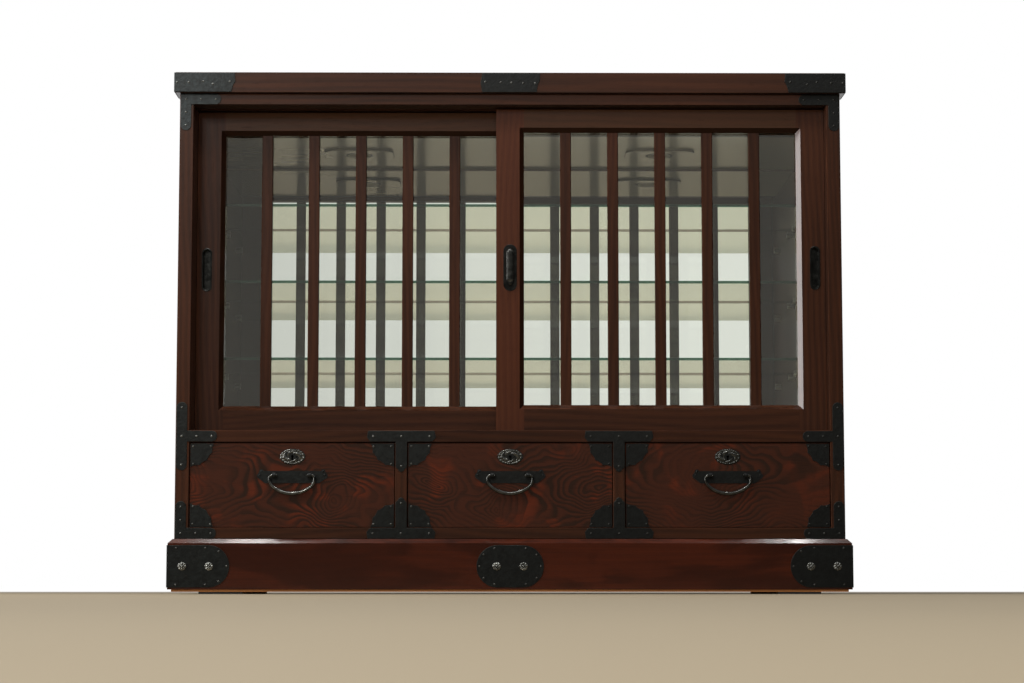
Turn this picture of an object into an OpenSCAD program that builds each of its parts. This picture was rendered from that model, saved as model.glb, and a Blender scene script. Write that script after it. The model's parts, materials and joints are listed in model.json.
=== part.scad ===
// Glass-fronted chest: two sliding lattice doors over three drawers, on a plinth.
// Millimetres. X runs across, the front faces -Y and Z is up.
// The origin is on the floor under the middle of the whole piece.
// "Depth" below is measured from the front plane of the case towards the back.

/* [Case] */
// Width over the two side boards
case_w = 1182; // [1000:1:1400]
// Depth of the case from its front plane to its back
case_d = 430; // [400:1:520]
// Thickness of the side boards
side_t = 25; // [20:1:30]
// Thickness of the top board
top_t = 37; // [28:1:45]
// How far the top board stands out past each side
top_side_lip = 8; // [4:1:20]
// How far the top board stands out in front
top_front_lip = 10; // [4:1:20]
// Small chamfer on the edges of the boards
edge_c = 1; // [0.5:0.1:1.5]
// Thickness of the back panel
back_t = 6; // [4:0.5:8]
// How far the back panel is set in from the back edge of the sides
back_set = 4; // [2:0.5:8]
// Thickness of the mirror
mirror_t = 5; // [3:0.5:6]
// Distance from the ceiling down to the mirror's top edge
mirror_drop = 5; // [3:0.5:14]
// Thickness of the boards above and below the drawers
floor_t = 12; // [9:0.5:15]

/* [Rails] */
// Height of the rail under the drawers
bottom_rail_h = 20; // [16:1:28]
// Depth of the rail under the drawers and of the divider posts
front_rail_d = 25; // [20:1:40]
// Height of the rail between drawers and doors
sill_h = 21.5; // [20:0.5:30]
// Height of the rail over the doors
head_h = 20; // [18:0.5:30]
// Depth of the sill rail and head rail behind the rear door
rail_lip = 10; // [6:1:20]
// Depth of the door grooves in the sill rail
sill_groove = 3; // [2:0.5:5]
// Depth of the door grooves in the head rail
head_groove = 12; // [8:0.5:13]

/* [Plinth] */
// Height of the plinth boards
plinth_h = 88.5; // [70:0.5:110]
// Thickness of the plinth boards
plinth_t = 22; // [18:1:28]
// How far the plinth stands out past each side of the case
plinth_side_lip = 9.5; // [9:0.5:20]
// How far the plinth stands out in front
plinth_front_lip = 12; // [11:0.5:20]
// Chamfer along the top of the plinth
plinth_chamfer = 7.5; // [4:0.5:9]
// Height of the raw strips under the plinth
batten_h = 4; // [3:0.5:8]
// Width of the raw strips
batten_w = 30; // [25:1:40]
// How far the raw strips are set in from the plinth face
batten_inset = 6; // [3:0.5:10]
// Height of the foot pads
foot_h = 4; // [2:0.5:8]
// Length of a foot pad
foot_l = 76; // [50:1:100]
// Width of a foot pad
foot_w = 24; // [18:1:25]
// Distance from a foot pad's middle to the side of the plinth
foot_inset = 92; // [70:1:120]

/* [Display case] */
// Height of the opening that the doors close
door_opening_h = 584; // [480:1:700]
// Distance from the top board down to the ceiling of the display case
ceiling_drop = 55.5; // [45:0.5:70]
// Thickness of the ceiling panel
ceiling_t = 6; // [4:0.5:9]
// Thickness of the board in front of the lamp space
fascia_t = 12; // [9:0.5:15]
// Thickness of a glass shelf
shelf_t = 5; // [4:0.5:8]
// Depth of the shelf's front edge
shelf_set = 133; // [125:1:180]
// Height of the lowest shelf above the sill rail
shelf_rise = 138; // [90:1:160]
// Distance from one shelf to the next
shelf_pitch = 142.3; // [100:0.1:150]
// Gap at the ends and back of a glass shelf
shelf_gap = 1; // [0.5:0.1:2]
// Radius of a shelf pin
pin_r = 3; // [2.5:0.1:4]
// Length of a shelf pin inside the side board
pin_in = 10; // [8:0.5:14]
// Length of a shelf pin under the shelf
pin_out = 12; // [8:0.5:18]
// Distance from a shelf's front or back edge to its pins
pin_inset = 38; // [25:1:60]
// Width of a ceiling lamp across the case
lamp_l = 131; // [110:1:150]
// Width of a ceiling lamp from front to back
lamp_w = 88; // [84:1:100]
// Radius of a ceiling lamp's corners
lamp_corner_r = 24; // [12:1:36]
// Height of the lamp rim under the ceiling
lamp_h = 4.5; // [3:0.5:8]
// Radius of the lamp body above the ceiling
lamp_neck_r = 36; // [32:0.5:40]
// Height of the lamp body above the ceiling panel
lamp_neck_h = 28; // [15:1:35]
// Radius of the lamp lens
lens_r = 25.5; // [18:0.5:26]
// Thickness of the lamp lens
lens_t = 2.5; // [2:0.5:3.5]
// Distance of each lamp from the middle
lamp_x = 286; // [200:1:350]
// Depth of the lamps' middle
lamp_d = 264; // [220:0.5:300]
// Radius of the cable gland's bore
gland_bore_r = 3.5; // [3:0.1:4.5]
// Radius of the cable gland's neck
gland_r = 7; // [6:0.1:8]
// Radius of the cable gland's flange
gland_flange_r = 11; // [9:0.5:14]
// Thickness of the cable gland's flange
gland_flange_t = 2; // [1:0.5:3]

/* [Doors] */
// Depth of the front door's face
door_set = 28; // [20:1:35]
// Thickness of a door
door_t = 27; // [25:0.5:32]
// Gap between the two doors as they pass
door_pass = 4; // [3:0.5:6]
// Width of a door stile
stile_w = 50; // [46:0.5:60]
// Height of a door's top rail
door_top_h = 41; // [34:0.5:60]
// Height of a door's bottom rail
door_bottom_h = 47; // [34:0.5:60]
// Bevel round the glass opening
bevel = 8; // [4:0.5:10]
// Number of bars in a door
bar_count = 5; // [3:1:7]
// Width of a bar
bar_w = 19.7; // [14:0.1:24]
// Thickness of a bar
bar_t = 9; // [6:0.5:9.5]
// Thickness of the door glass
glass_t = 3; // [2:0.5:4]
// Depth of the glass groove in the door frame
glass_in = 7; // [5:0.5:8]
// Thickness of the tongues that run in the grooves
tongue_t = 9; // [7:0.5:12]
// Gap between a door's shoulder and the sill rail
shoulder_gap = 0.6; // [0.4:0.1:1]
// Gap between a door's shoulder and the head rail
head_gap = 2; // [1:0.1:4]
// How far the top tongue reaches into its groove
tongue_in = 9; // [5:0.5:10]

/* [Drawers] */
// Height of the drawer openings
drawer_opening_h = 150.5; // [130:0.5:180]
// Width of a divider post
divider_w = 21.3; // [18:0.1:26]
// Thickness of a divider board
divider_t = 12; // [9:0.5:16]
// How far a drawer front is set in from the front plane
drawer_set = 2; // [1.6:0.1:4]
// Thickness of a drawer front
drawer_front_t = 20; // [18:0.5:24]
// Gap beside a drawer front
drawer_side_gap = 1; // [0.6:0.1:1.5]
// Gap over a drawer front
drawer_top_gap = 1.2; // [0.8:0.1:2]
// Thickness of a drawer's sides and back
drawer_wall = 12; // [9:0.5:14]
// Thickness of a drawer's bottom
drawer_floor = 6; // [4:0.5:9]
// Height of a drawer's sides and back
drawer_wall_h = 124; // [90:1:126]
// How far a drawer's sides are set in from the ends of its front
drawer_wall_set = 2; // [1:0.5:4]
// Space behind a closed drawer
drawer_back_gap = 28; // [10:1:60]

/* [Locks] */
// Height of a lock's keyhole below the top of the drawer front
lock_drop = 24; // [20:0.5:28]
// Length of the oval lock plate
lock_plate_l = 44; // [36:0.5:50]
// Height of the oval lock plate
lock_plate_h = 27; // [22:0.5:30]
// Width of the lock case
lock_w = 40; // [34:1:50]
// Height of the lock case
lock_h = 34; // [32:1:40]
// Thickness of the lock case
lock_t = 12; // [10:0.5:13]
// Width of the lock bolt
bolt_w = 16; // [12:0.5:20]
// Thickness of the lock bolt
bolt_t = 5; // [4:0.5:6]
// Height of the lock bolt
bolt_h = 20; // [16:0.5:22]
// Travel of the lock bolt
bolt_travel = 6; // [4:0.5:8]

/* [Irons] */
// Thickness of the iron plates
iron_t = 1.5; // [1:0.1:1.5]
// Radius of a nail head
nail_r = 1.9; // [1.4:0.1:2.2]
// Height of a nail head
nail_h = 1.1; // [0.8:0.1:1.3]
// Length of the irons on the top board's corners
top_iron_l = 108; // [80:1:130]
// Length of the iron in the middle of the top board
top_mid_iron_l = 106; // [80:1:130]
// Length of the irons along the sides
wing_iron_l = 62; // [40:1:90]
// Width of the straps on the posts
strap_w = 19; // [14:0.5:19.5]
// Length of the post straps' level legs
strap_l = 72; // [50:1:90]
// Length of the post straps' upright legs
strap_up = 66; // [50:1:90]
// Width of the divider irons
divider_iron_l = 121.5; // [90:0.5:130]
// Length of a divider iron's tongue
divider_tongue = 54.5; // [35:0.5:60]
// Radius of the quarter-round irons on the drawers
corner_iron_r = 41; // [30:1:48]
// Depth of the hollows between the points of a quarter-round iron
corner_iron_hollow = 2; // [1:0.1:2.5]
// Length of the plinth's corner irons
plinth_iron_l = 110; // [90:1:130]
// Height of the plinth's irons
plinth_iron_h = 74; // [55:1:76]
// Length of the plinth's middle iron
plinth_mid_iron_l = 118; // [100:1:140]
// Distance between a plinth iron's two rosettes
rosette_pitch = 47; // [40:1:56]
// Distance from the outermost rosettes' middle to the side of the plinth
rosette_inset = 26; // [22:1:34]
// Radius of a rosette
rosette_r = 7.6; // [6:0.1:10]
// Height of a rosette
rosette_h = 4.5; // [4:0.5:6]

/* [Handles] */
// Height of a bail's axis below the top of the drawer front
bail_drop = 57.5; // [53:0.5:64]
// Distance from a bail's axis to the drawer front
bail_out = 8; // [7.5:0.1:10]
// Distance between the two eyes
eye_pitch = 62.8; // [56:0.1:66]
// Outer radius of an eye
eye_r = 4.6; // [4:0.1:5]
// Width of an eye
eye_w = 6; // [5:0.1:7]
// Radius of a bail's pins
bail_pin_r = 2; // [1.5:0.1:2.4]
// Radial clearance of a pin in its eye
pin_fit = 0.05; // [0.02:0.01:0.09]
// Radius of the bail's long bend, where it is thickest
bail_r = 3.3; // [3.1:0.1:3.6]
// Radius of the bail's side bends
bail_end_r = 2.6; // [2.5:0.1:2.9]
// Radius of the bend beside an eye
elbow_r = 5; // [4:0.1:5.8]
// Distance from the bail's axis down to the middle of its bar
bail_fall = 32; // [32:0.5:40]
// Bending radius of a bail's sides
bail_side_r = 17; // [14:0.5:18]
// Bending radius of a bail's long bottom bend
bail_low_r = 52; // [46:0.5:60]
// Length of the winged plate behind a bail
wing_plate_l = 125; // [116:1:136]
// Height of the winged plate
wing_plate_h = 21.4; // [20:0.1:26]
// Width of a recessed door pull
pull_w = 18; // [15:0.5:20]
// Height of a recessed door pull
pull_h = 79; // [60:1:100]
// Depth of a recessed door pull
pull_depth = 8; // [6:0.5:9]
// Height of the door pulls' middle above the sill rail
pull_rise = 294; // [200:1:380]
// Distance from a recessed pull's middle to the door's edge
pull_inset = 18.5; // [15:0.5:22]
// Width of the raised handle's plate
grip_w = 24; // [18:0.5:26]
// Height of the raised handle's plate
grip_h = 84; // [70:1:100]
// Distance from the door to the raised grip's outer face
grip_out = 14; // [12:0.5:18]
// Width of the raised grip
grip_bar_w = 10; // [8:0.5:12]
// Thickness of the raised grip
grip_bar_t = 5; // [4:0.5:6]
// Length of the raised grip
grip_bar_l = 62; // [50:1:64]

/* [Hidden] */
$fn = 48;
// Clearance between pieces that slide on each other
slide_gap = 0.3;
// Clearance round a fixed piece in its hole
seat_gap = 0.05;
// Gap between a closed door's edge and the side board
door_end_gap = 0.5;
// Extra length that carries a cut past the face it leaves
past = 1;
// Corner cut of the top irons' shaped ends
iron_cusp = 6;
// Margin between a plate's edge and its nails
nail_in = 5;

// Levels, from the floor up
batten_z = foot_h;
plinth_z = batten_z + batten_h;
case_z = plinth_z + plinth_h;
drawer_floor_z = case_z + bottom_rail_h;
sill_z = drawer_floor_z + drawer_opening_h;
sill_top = sill_z + sill_h;
head_z = sill_top + door_opening_h;
top_z = head_z + head_h;
ceiling_z = top_z - ceiling_drop;
case_h = top_z - case_z;

// Widths
inner_w = case_w - 2 * side_t;
top_w = case_w + 2 * top_side_lip;
plinth_w = case_w + 2 * plinth_side_lip;
drawer_opening_w = (inner_w - 2 * divider_w) / 3;
drawer_pitch = drawer_opening_w + divider_w;

// Depths
rear_door_set = door_set + door_t + door_pass;
rail_d = rear_door_set + door_t + rail_lip;
back_panel_d = case_d - back_set - back_t;
mirror_d = back_panel_d - mirror_t;
front_reach = max(plinth_front_lip + iron_t + rosette_h, top_front_lip + iron_t + nail_h);
front_y = -(case_d - front_reach) / 2;

// Doors
door_w = (inner_w + stile_w) / 2 - door_end_gap;
door_z = sill_top + shoulder_gap;
door_h = head_z - head_gap - door_z;
glazing_w = door_w - 2 * stile_w;
glazing_z = door_bottom_h;
glazing_h = door_h - door_bottom_h - door_top_h;
bar_gap = (glazing_w - bar_count * bar_w) / (bar_count + 1);
bar_d = bevel;
glass_d = bar_d + bar_t + slide_gap;
left_door_x = -inner_w / 2 + door_end_gap;
right_door_x = inner_w / 2 - door_end_gap - door_w;
pull_z = pull_rise - shoulder_gap;
pull_rim = 1.2;
pull_rim_h = 1.2;
pull_wall = 1.2;

// Drawers
drawer_w = drawer_opening_w - 2 * drawer_side_gap;
drawer_z = drawer_floor_z + slide_gap;
drawer_h = drawer_opening_h - slide_gap - drawer_top_gap;
drawer_box_l = back_panel_d - drawer_set - drawer_front_t - drawer_back_gap;
drawer_box_w = drawer_w - 2 * drawer_wall_set;
bolt_d = drawer_front_t - lock_t / 2;
key_r = 2.4;
key_slot_w = 2.4;
key_slot_h = 7;
lock_z = drawer_h - lock_drop;
bail_z = drawer_h - bail_drop;

// Bail
eye_x = eye_pitch / 2;
shank_r = 2.4;
elbow_x = eye_x + eye_w / 2 + slide_gap;
bail_side_x = elbow_x + elbow_r - bail_side_r;
bail_turn = asin(bail_side_x / (bail_low_r - bail_side_r));
bail_low_z = bail_low_r - bail_fall;
bail_side_z = bail_low_z - (bail_low_r - bail_side_r) * cos(bail_turn);

// Colours
wood = "#4a2418";
wood_red = "#5e2415";
wood_grain = "#5a2a1a";
wood_raw = "#b06a30";
wood_pale = "#b99468";
iron = "#2a302e";
glass = "#a9c4b8";
silver = "#c8cdca";
panel = "#8d8a78";

// Placing

// Puts children at x, at a depth behind the front plane, and at a height
module at(x, depth, z) translate([x, front_y + depth, z]) children();

// Lays a flat outline on a plane that faces the front, growing outwards
module on_front(x, depth, z) at(x, depth, z) rotate([90, 0, 0]) children();

// Lays a flat outline on the right side of the piece, growing outwards
module on_right(x, depth, z) at(x, depth, z) rotate([90, 0, 90]) children();

// Repeats children mirrored to the other side
module both_sides() {
  children();
  mirror([1, 0, 0]) children();
}

// Shared shapes

// Rectangle from its corner with its four corners cut by c
module cut_rect(w, h, c)
  polygon([[c, 0], [w - c, 0], [w, c], [w, h - c], [w - c, h], [c, h], [0, h - c], [0, c]]);

// Board that runs along X, with its long edges chamfered
module beam_x(l, d, h, c = edge_c) rotate([90, 0, 90]) linear_extrude(l) cut_rect(d, h, c);

// Board that runs along Y, with its long edges chamfered
module beam_y(w, l, h, c = edge_c)
  translate([0, l, 0]) rotate([90, 0, 0]) linear_extrude(l) cut_rect(w, h, c);

// Board that stands along Z, with its upright edges chamfered
module beam_z(w, d, l, c = edge_c) linear_extrude(l) cut_rect(w, d, c);

// Board with all twelve edges chamfered
module slab(w, d, h, c = edge_c) intersection() {
  beam_x(w, d, h, c);
  beam_y(w, d, h, c);
  beam_z(w, d, h, c);
}

// Upright capsule outline about its middle
module capsule(w, h) {
  square([w, h - w], center = true);
  translate([0, (h - w) / 2]) circle(w / 2);
  translate([0, -(h - w) / 2]) circle(w / 2);
}

// Rectangle with round corners about its middle
module round_rect(l, w, r) {
  square([l - 2 * r, w], center = true);
  square([l, w - 2 * r], center = true);
  for (sx = [-1, 1], sy = [-1, 1]) translate([sx * (l / 2 - r), sy * (w / 2 - r)]) circle(r);
}

// Domed nail head standing on a plate, from a ball cut at the plate
module nail() {
  ball_r = (nail_r * nail_r + nail_h * nail_h) / (2 * nail_h);
  intersection() {
    translate([0, 0, nail_h - ball_r]) sphere(ball_r);
    translate([0, 0, ball_r]) cube(2 * ball_r, center = true);
  }
}

// Nail heads at a list of places on a plate
module nails(places) for (p = places) translate([p[0], p[1], iron_t]) nail();

// Rosette: a disc with a ring of eight beads and a dome in the middle
module rosette() {
  disc_t = 1.5;
  bead_r = rosette_r * 0.3;
  intersection() {
    union() {
      cylinder(r = rosette_r, h = disc_t);
      for (a = [0:45:315]) rotate(a) translate([rosette_r * 0.68, 0, disc_t]) sphere(bead_r);
      translate([0, 0, rosette_h - rosette_r * 0.42]) sphere(rosette_r * 0.42);
      cylinder(r = rosette_r * 0.3, h = rosette_h / 2);
    }
    translate([0, 0, rosette_h]) cube([4 * rosette_r, 4 * rosette_r, 2 * rosette_h], center = true);
  }
}

// Iron outlines, each laid from the corner or middle it is fixed at

// Top board iron from the outer corner inwards along -X, with a cusped inner end
module top_iron_shape(l, h)
  polygon([[0, 0], [-l + iron_cusp, 0], [-l + iron_cusp / 3, h * 0.4], [-l - iron_cusp / 4, h * 0.55],
    [-l, h], [0, h]]);

// Middle iron of the top board, leaning ends on both sides
module top_mid_iron_shape(l, h)
  polygon([[-l / 2 + iron_cusp / 2, 0], [l / 2 - iron_cusp, 0], [l / 2 - iron_cusp / 2, h * 0.45],
    [l / 2, h * 0.6], [l / 2, h], [-l / 2 + iron_cusp / 2, h], [-l / 2, h * 0.45]]);

// Strap with a round inner end, from x = 0 along -X
module strap_shape(l, w) {
  translate([-l + w / 2, 0]) square([l - w / 2, w]);
  translate([-l + w / 2, w / 2]) circle(w / 2);
}

// Upright strap with round ends, from y0 to y1, its outer edge at x = 0
module upright_shape(y0, y1, w) translate([-w / 2, (y0 + y1) / 2]) capsule(w, y1 - y0);

// Tongue hanging from y = 0 about x = 0, with a small round tip between two shoulders
module tongue_shape(l, w) {
  tip_r = w * 0.28;
  shoulder = iron_cusp / 2;
  polygon([[-w / 2, 0], [-w / 2, -l + tip_r + shoulder], [-w / 2 + shoulder, -l + tip_r],
    [w / 2 - shoulder, -l + tip_r], [w / 2, -l + tip_r + shoulder], [w / 2, 0]]);
  translate([0, -l + tip_r]) circle(tip_r);
}

// Level bar of a divider iron, its lower corners cut back
module divider_bar_shape(l, h)
  polygon([[-l / 2 + iron_cusp, 0], [l / 2 - iron_cusp, 0], [l / 2, h * 0.4], [l / 2 - iron_cusp / 3, h],
    [-l / 2 + iron_cusp / 3, h], [-l / 2, h * 0.4]]);

// Quarter-round plate with its square corner at the origin, towards +X and +Y.
// Four shallow hollows leave a blunt point between each two of them.
module quarter_shape(r) {
  step = 90 / 4;
  half = step * 0.47;
  dip = corner_iron_hollow - r * (1 - cos(half));
  hollow_r = pow(r * sin(half), 2) / (2 * dip) + dip / 2;
  difference() {
    intersection() {
      circle(r);
      square(r);
    }
    for (i = [0:3]) rotate(step * (i + 0.5))
      translate([r - corner_iron_hollow + hollow_r, 0]) circle(hollow_r);
  }
}

// Plinth corner iron from the outer edge inwards along -X, with a round end
module plinth_iron_shape(l, h) intersection() {
  translate([-l, 0]) square([l, h]);
  union() {
    translate([-l + h / 2, 0]) square([l, h]);
    translate([-l + h / 2, h / 2]) circle(h / 2);
  }
}

// Plinth middle iron, round at both ends
module plinth_mid_iron_shape(l, h) {
  translate([-(l - h) / 2, 0]) square([l - h, h]);
  for (s = [-1, 1]) translate([s * (l - h) / 2, h / 2]) circle(h / 2);
}

// Winged plate behind a bail, about the bail's axis.
// Each end tapers from below to a blunt point, and a small horn stands on top of it.
module wing_plate_shape() {
  l = wing_plate_l / 2;
  h = wing_plate_h;
  wing = [[l - 14.5, -h * 0.626], [l - 1, -h * 0.16], [l, h * 0.02], [l - 3, h * 0.21],
    [l - 5.5, h * 0.5], [l - 9.5, h * 0.51], [l - 12, h * 0.374]];
  polygon(concat(wing, [for (i = [len(wing) - 1:-1:0]) [-wing[i][0], wing[i][1]]]));
}

// Oval whose edge swells into petals, from one formula round the full turn
function petal_oval(a, b, petals, swell) = [
  for (t = [0:3:357])
    let (k = 1 + swell * abs(sin(t * petals / 2)))
    [a / 2 * k * cos(t), b / 2 * k * sin(t)]
];

// Keyhole outline: a round hole over a slot
module keyhole_shape() {
  circle(key_r);
  translate([-key_slot_w / 2, -key_slot_h]) square([key_slot_w, key_slot_h]);
}

// Places of the nails on each kind of iron
function top_nails(l, h) = [
  [-nail_in, h / 2], [-l * 0.24, h * 0.5], [-l * 0.48, h * 0.54], [-l * 0.64, h * 0.42],
  [-l * 0.92, h * 0.54]
];
function top_mid_nails(l, h) = [for (k = [-0.42, -0.16, 0.02, 0.22, 0.42]) [l * k, h * (0.5 - k / 12)]];
function strap_nails(l, w) = [[-l + w / 2, w / 2], [-l * 0.5, w / 2]];
function upright_nails(y0, y1, w) = [[-w / 2, y0 + w / 2], [-w / 2, y1 - w / 2], [-w / 2, (y0 + y1) / 2]];
function divider_nails(l, w) = [
  [0, w / 2], [-l / 2 + nail_in + iron_cusp, w / 2], [l / 2 - nail_in - iron_cusp, w / 2]
];
function quarter_nails(r) = [[nail_in, nail_in], [r - nail_in, nail_in], [nail_in, r - nail_in]];
function plinth_nails(l, h) = concat(
  [[-l * 0.15, nail_in], [-l * 0.15, h - nail_in], [-l * 0.62, nail_in], [-l * 0.62, h - nail_in]],
  [for (a = [125, 180, 235])
    [-l + h / 2 + (h / 2 - nail_in) * cos(a), h / 2 + (h / 2 - nail_in) * sin(a)]]
);
function plinth_mid_nails(l, h) = [
  for (s = [-1, 1], a = [-80, -40, 0, 40, 80])
    [s * ((l - h) / 2 + (h / 2 - nail_in) * cos(a)), h / 2 + (h / 2 - nail_in) * sin(a)]
];

// Levels of the irons on the front plane
top_iron_h = top_t - 2 * edge_c;
head_strap_z = head_z + (head_h - strap_w) / 2;
sill_strap_z = sill_z + (sill_h - strap_w) / 2;
bottom_strap_z = case_z + (bottom_rail_h - strap_w) / 2;
post_edge = case_w / 2 - edge_c - 0.5;
plinth_iron_z = plinth_z + (plinth_h - plinth_chamfer - plinth_iron_h) / 2;
divider_iron_x = drawer_pitch / 2;
divider_iron_w = divider_w - edge_c;

// Case

module top_board() color(wood)
  at(-top_w / 2, -top_front_lip, top_z) slab(top_w, case_d + top_front_lip, top_t);

// Side board with its shelf-pin holes, on the right
module side_board() difference() {
  at(inner_w / 2, 0, case_z) beam_z(side_t, case_d, case_h);
  for (s = [0:2], d = pin_depths()) at(inner_w / 2 - past, d, pin_z(s))
    rotate([0, 90, 0]) cylinder(r = pin_r + seat_gap, h = pin_in + slide_gap + past);
}
module side_right() color(wood) side_board();
module side_left() color(wood) mirror([1, 0, 0]) side_board();

// Grooves for the two doors' tongues, cut along the whole rail
module door_grooves(z, h) for (d = [door_set, rear_door_set])
  at(-inner_w / 2 - past, d + (door_t - tongue_t) / 2 - slide_gap, z)
    cube([inner_w + 2 * past, tongue_t + 2 * slide_gap, h]);

module head_rail() color(wood) difference() {
  at(-inner_w / 2, 0, head_z) beam_x(inner_w, rail_d, head_h);
  door_grooves(head_z - past, head_groove + past);
}

module sill_rail() color(wood) difference() {
  at(-inner_w / 2, 0, sill_z) beam_x(inner_w, rail_d, sill_h);
  door_grooves(sill_top - sill_groove, sill_groove + past);
  for (i = [-1:1]) at(i * drawer_pitch, drawer_set + bolt_d, sill_z) bolt_mortise();
}

// Pocket over each drawer that its lock bolt rises into
module bolt_mortise() {
  room = 2;
  depth = bolt_travel + room;
  translate([0, 0, depth / 2 - past / 2])
    cube([bolt_w + 2 * room, bolt_t + 2 * room, depth + past], center = true);
}

module case_floor() color(wood_pale)
  at(-inner_w / 2, rail_d, sill_z) cube([inner_w, back_panel_d - rail_d, floor_t]);

module bottom_rail() color(wood)
  at(-inner_w / 2, 0, case_z) beam_x(inner_w, front_rail_d, bottom_rail_h);

module bottom_board() color(wood_pale)
  at(-inner_w / 2, front_rail_d, drawer_floor_z - floor_t)
    cube([inner_w, back_panel_d - front_rail_d, floor_t]);

// Each divider is a post in front with a thinner board behind it
module drawer_dividers() color(wood)
  for (i = [-1, 1]) at(i * drawer_pitch / 2, 0, drawer_floor_z) {
    translate([-divider_w / 2, 0, 0]) beam_z(divider_w, front_rail_d, drawer_opening_h);
    translate([-divider_t / 2, front_rail_d - edge_c, 0])
      cube([divider_t, back_panel_d - front_rail_d + edge_c, drawer_opening_h]);
  }

module back_panel() color(wood_pale) difference() {
  at(-inner_w / 2, back_panel_d, case_z) cube([inner_w, back_t, case_h]);
  gland_place() translate([0, 0, -back_t - past]) cylinder(r = gland_r + seat_gap, h = back_t + 2 * past);
}

module back_mirror() color(silver)
  at(-inner_w / 2, mirror_d, sill_z + floor_t)
    cube([inner_w, mirror_t, ceiling_z - mirror_drop - sill_z - floor_t]);

module ceiling_panel() color(panel) difference() {
  at(-inner_w / 2, rail_d + fascia_t, ceiling_z)
    cube([inner_w, back_panel_d - rail_d - fascia_t, ceiling_t]);
  for (s = [-1, 1]) at(s * lamp_x, lamp_d, ceiling_z - past)
    cylinder(r = lamp_neck_r + slide_gap, h = ceiling_t + 2 * past);
}

module ceiling_fascia() color(wood)
  at(-inner_w / 2, rail_d, ceiling_z) cube([inner_w, fascia_t, ceiling_drop]);

// A lamp is a flat rim with round corners under the ceiling, with its body above it
module lamp_housings() color(panel) for (s = [-1, 1]) at(s * lamp_x, lamp_d, ceiling_z)
  difference() {
    union() {
      translate([0, 0, -lamp_h]) linear_extrude(lamp_h) round_rect(lamp_l, lamp_w, lamp_corner_r);
      cylinder(r = lamp_neck_r, h = ceiling_t + lamp_neck_h);
    }
    translate([0, 0, -lamp_h - past]) cylinder(r = lens_r + seat_gap, h = lens_t + past);
  }

module lamp_lenses() color(glass) for (s = [-1, 1]) at(s * lamp_x, lamp_d, ceiling_z - lamp_h)
  cylinder(r = lens_r, h = lens_t);

// Middle of the cable gland on the back of the back panel, facing out
module gland_place()
  at(inner_w / 2 - 5 * gland_flange_r, back_panel_d + back_t, top_z - ceiling_drop / 2)
    rotate([-90, 0, 0]) children();

module cable_gland() color("#202020") gland_place() difference() {
  union() {
    cylinder(r = gland_flange_r, h = gland_flange_t);
    translate([0, 0, -back_t]) cylinder(r = gland_r, h = back_t);
  }
  translate([0, 0, -back_t - past])
    cylinder(r = gland_bore_r, h = back_t + gland_flange_t + 2 * past);
}

// Plinth

// Outer form of the whole plinth with its chamfered top edge
module plinth_form() intersection() {
  at(-plinth_w / 2, -plinth_front_lip, plinth_z) rotate([90, 0, 90]) linear_extrude(plinth_w)
    polygon([[0, 0], [0, plinth_h - plinth_chamfer], [plinth_chamfer, plinth_h],
      [case_d + plinth_front_lip, plinth_h], [case_d + plinth_front_lip, 0]]);
  at(0, case_d, plinth_z) rotate([90, 0, 0]) linear_extrude(case_d + plinth_front_lip)
    polygon([[-plinth_w / 2, 0], [-plinth_w / 2, plinth_h - plinth_chamfer],
      [-plinth_w / 2 + plinth_chamfer, plinth_h], [plinth_w / 2 - plinth_chamfer, plinth_h],
      [plinth_w / 2, plinth_h - plinth_chamfer], [plinth_w / 2, 0]]);
}

module plinth_front() color(wood_red) intersection() {
  plinth_form();
  at(-plinth_w / 2, -plinth_front_lip, plinth_z) cube([plinth_w, plinth_t, plinth_h]);
}

// Two side boards behind the front one, and a back board between them
module plinth_frame() color(wood_red) {
  both_sides() intersection() {
    plinth_form();
    at(plinth_w / 2 - plinth_t, plinth_t - plinth_front_lip, plinth_z)
      cube([plinth_t, case_d + plinth_front_lip - plinth_t, plinth_h]);
  }
  at(-plinth_w / 2 + plinth_t + seat_gap, case_d - plinth_t, plinth_z)
    cube([plinth_w - 2 * (plinth_t + seat_gap), plinth_t, plinth_h]);
}

// Raw strips under the front and back boards, with shorter ones between them
module plinth_battens() color(wood_raw) {
  strip_l = plinth_w - 2 * batten_inset;
  front_d = batten_inset - plinth_front_lip;
  back_d = case_d - batten_inset - batten_w;
  for (d = [front_d, back_d]) at(-strip_l / 2, d, batten_z) cube([strip_l, batten_w, batten_h]);
  both_sides() at(strip_l / 2 - batten_w, front_d + batten_w + seat_gap, batten_z)
    cube([batten_w, back_d - front_d - batten_w - 2 * seat_gap, batten_h]);
}

module foot_pads() color("#3a3a3a")
  for (d = [batten_inset - plinth_front_lip, case_d - batten_inset - batten_w])
    both_sides() at(plinth_w / 2 - foot_inset - foot_l / 2, d + (batten_w - foot_w) / 2, 0)
      cube([foot_l, foot_w, foot_h]);

// Glass shelves and their pins

// Underside of shelf s, counted from the lowest
function shelf_z(s) = sill_top + shelf_rise + s * shelf_pitch;
function pin_z(s) = shelf_z(s) - pin_r - seat_gap;
function pin_depths() = [shelf_set + pin_inset, mirror_d - shelf_gap - pin_inset];

module glass_shelf(s) at(-inner_w / 2 + shelf_gap, shelf_set, shelf_z(s))
  cube([inner_w - 2 * shelf_gap, mirror_d - shelf_gap - shelf_set, shelf_t]);

module shelf_bottom() color(glass) glass_shelf(0);
module shelf_middle() color(glass) glass_shelf(1);
module shelf_top() color(glass) glass_shelf(2);

module shelf_pins() color(silver) both_sides()
  for (s = [0:2], d = pin_depths()) at(inner_w / 2 - pin_out, d, pin_z(s))
    rotate([0, 90, 0]) cylinder(r = pin_r, h = pin_out + pin_in);

// Irons on the case

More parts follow.
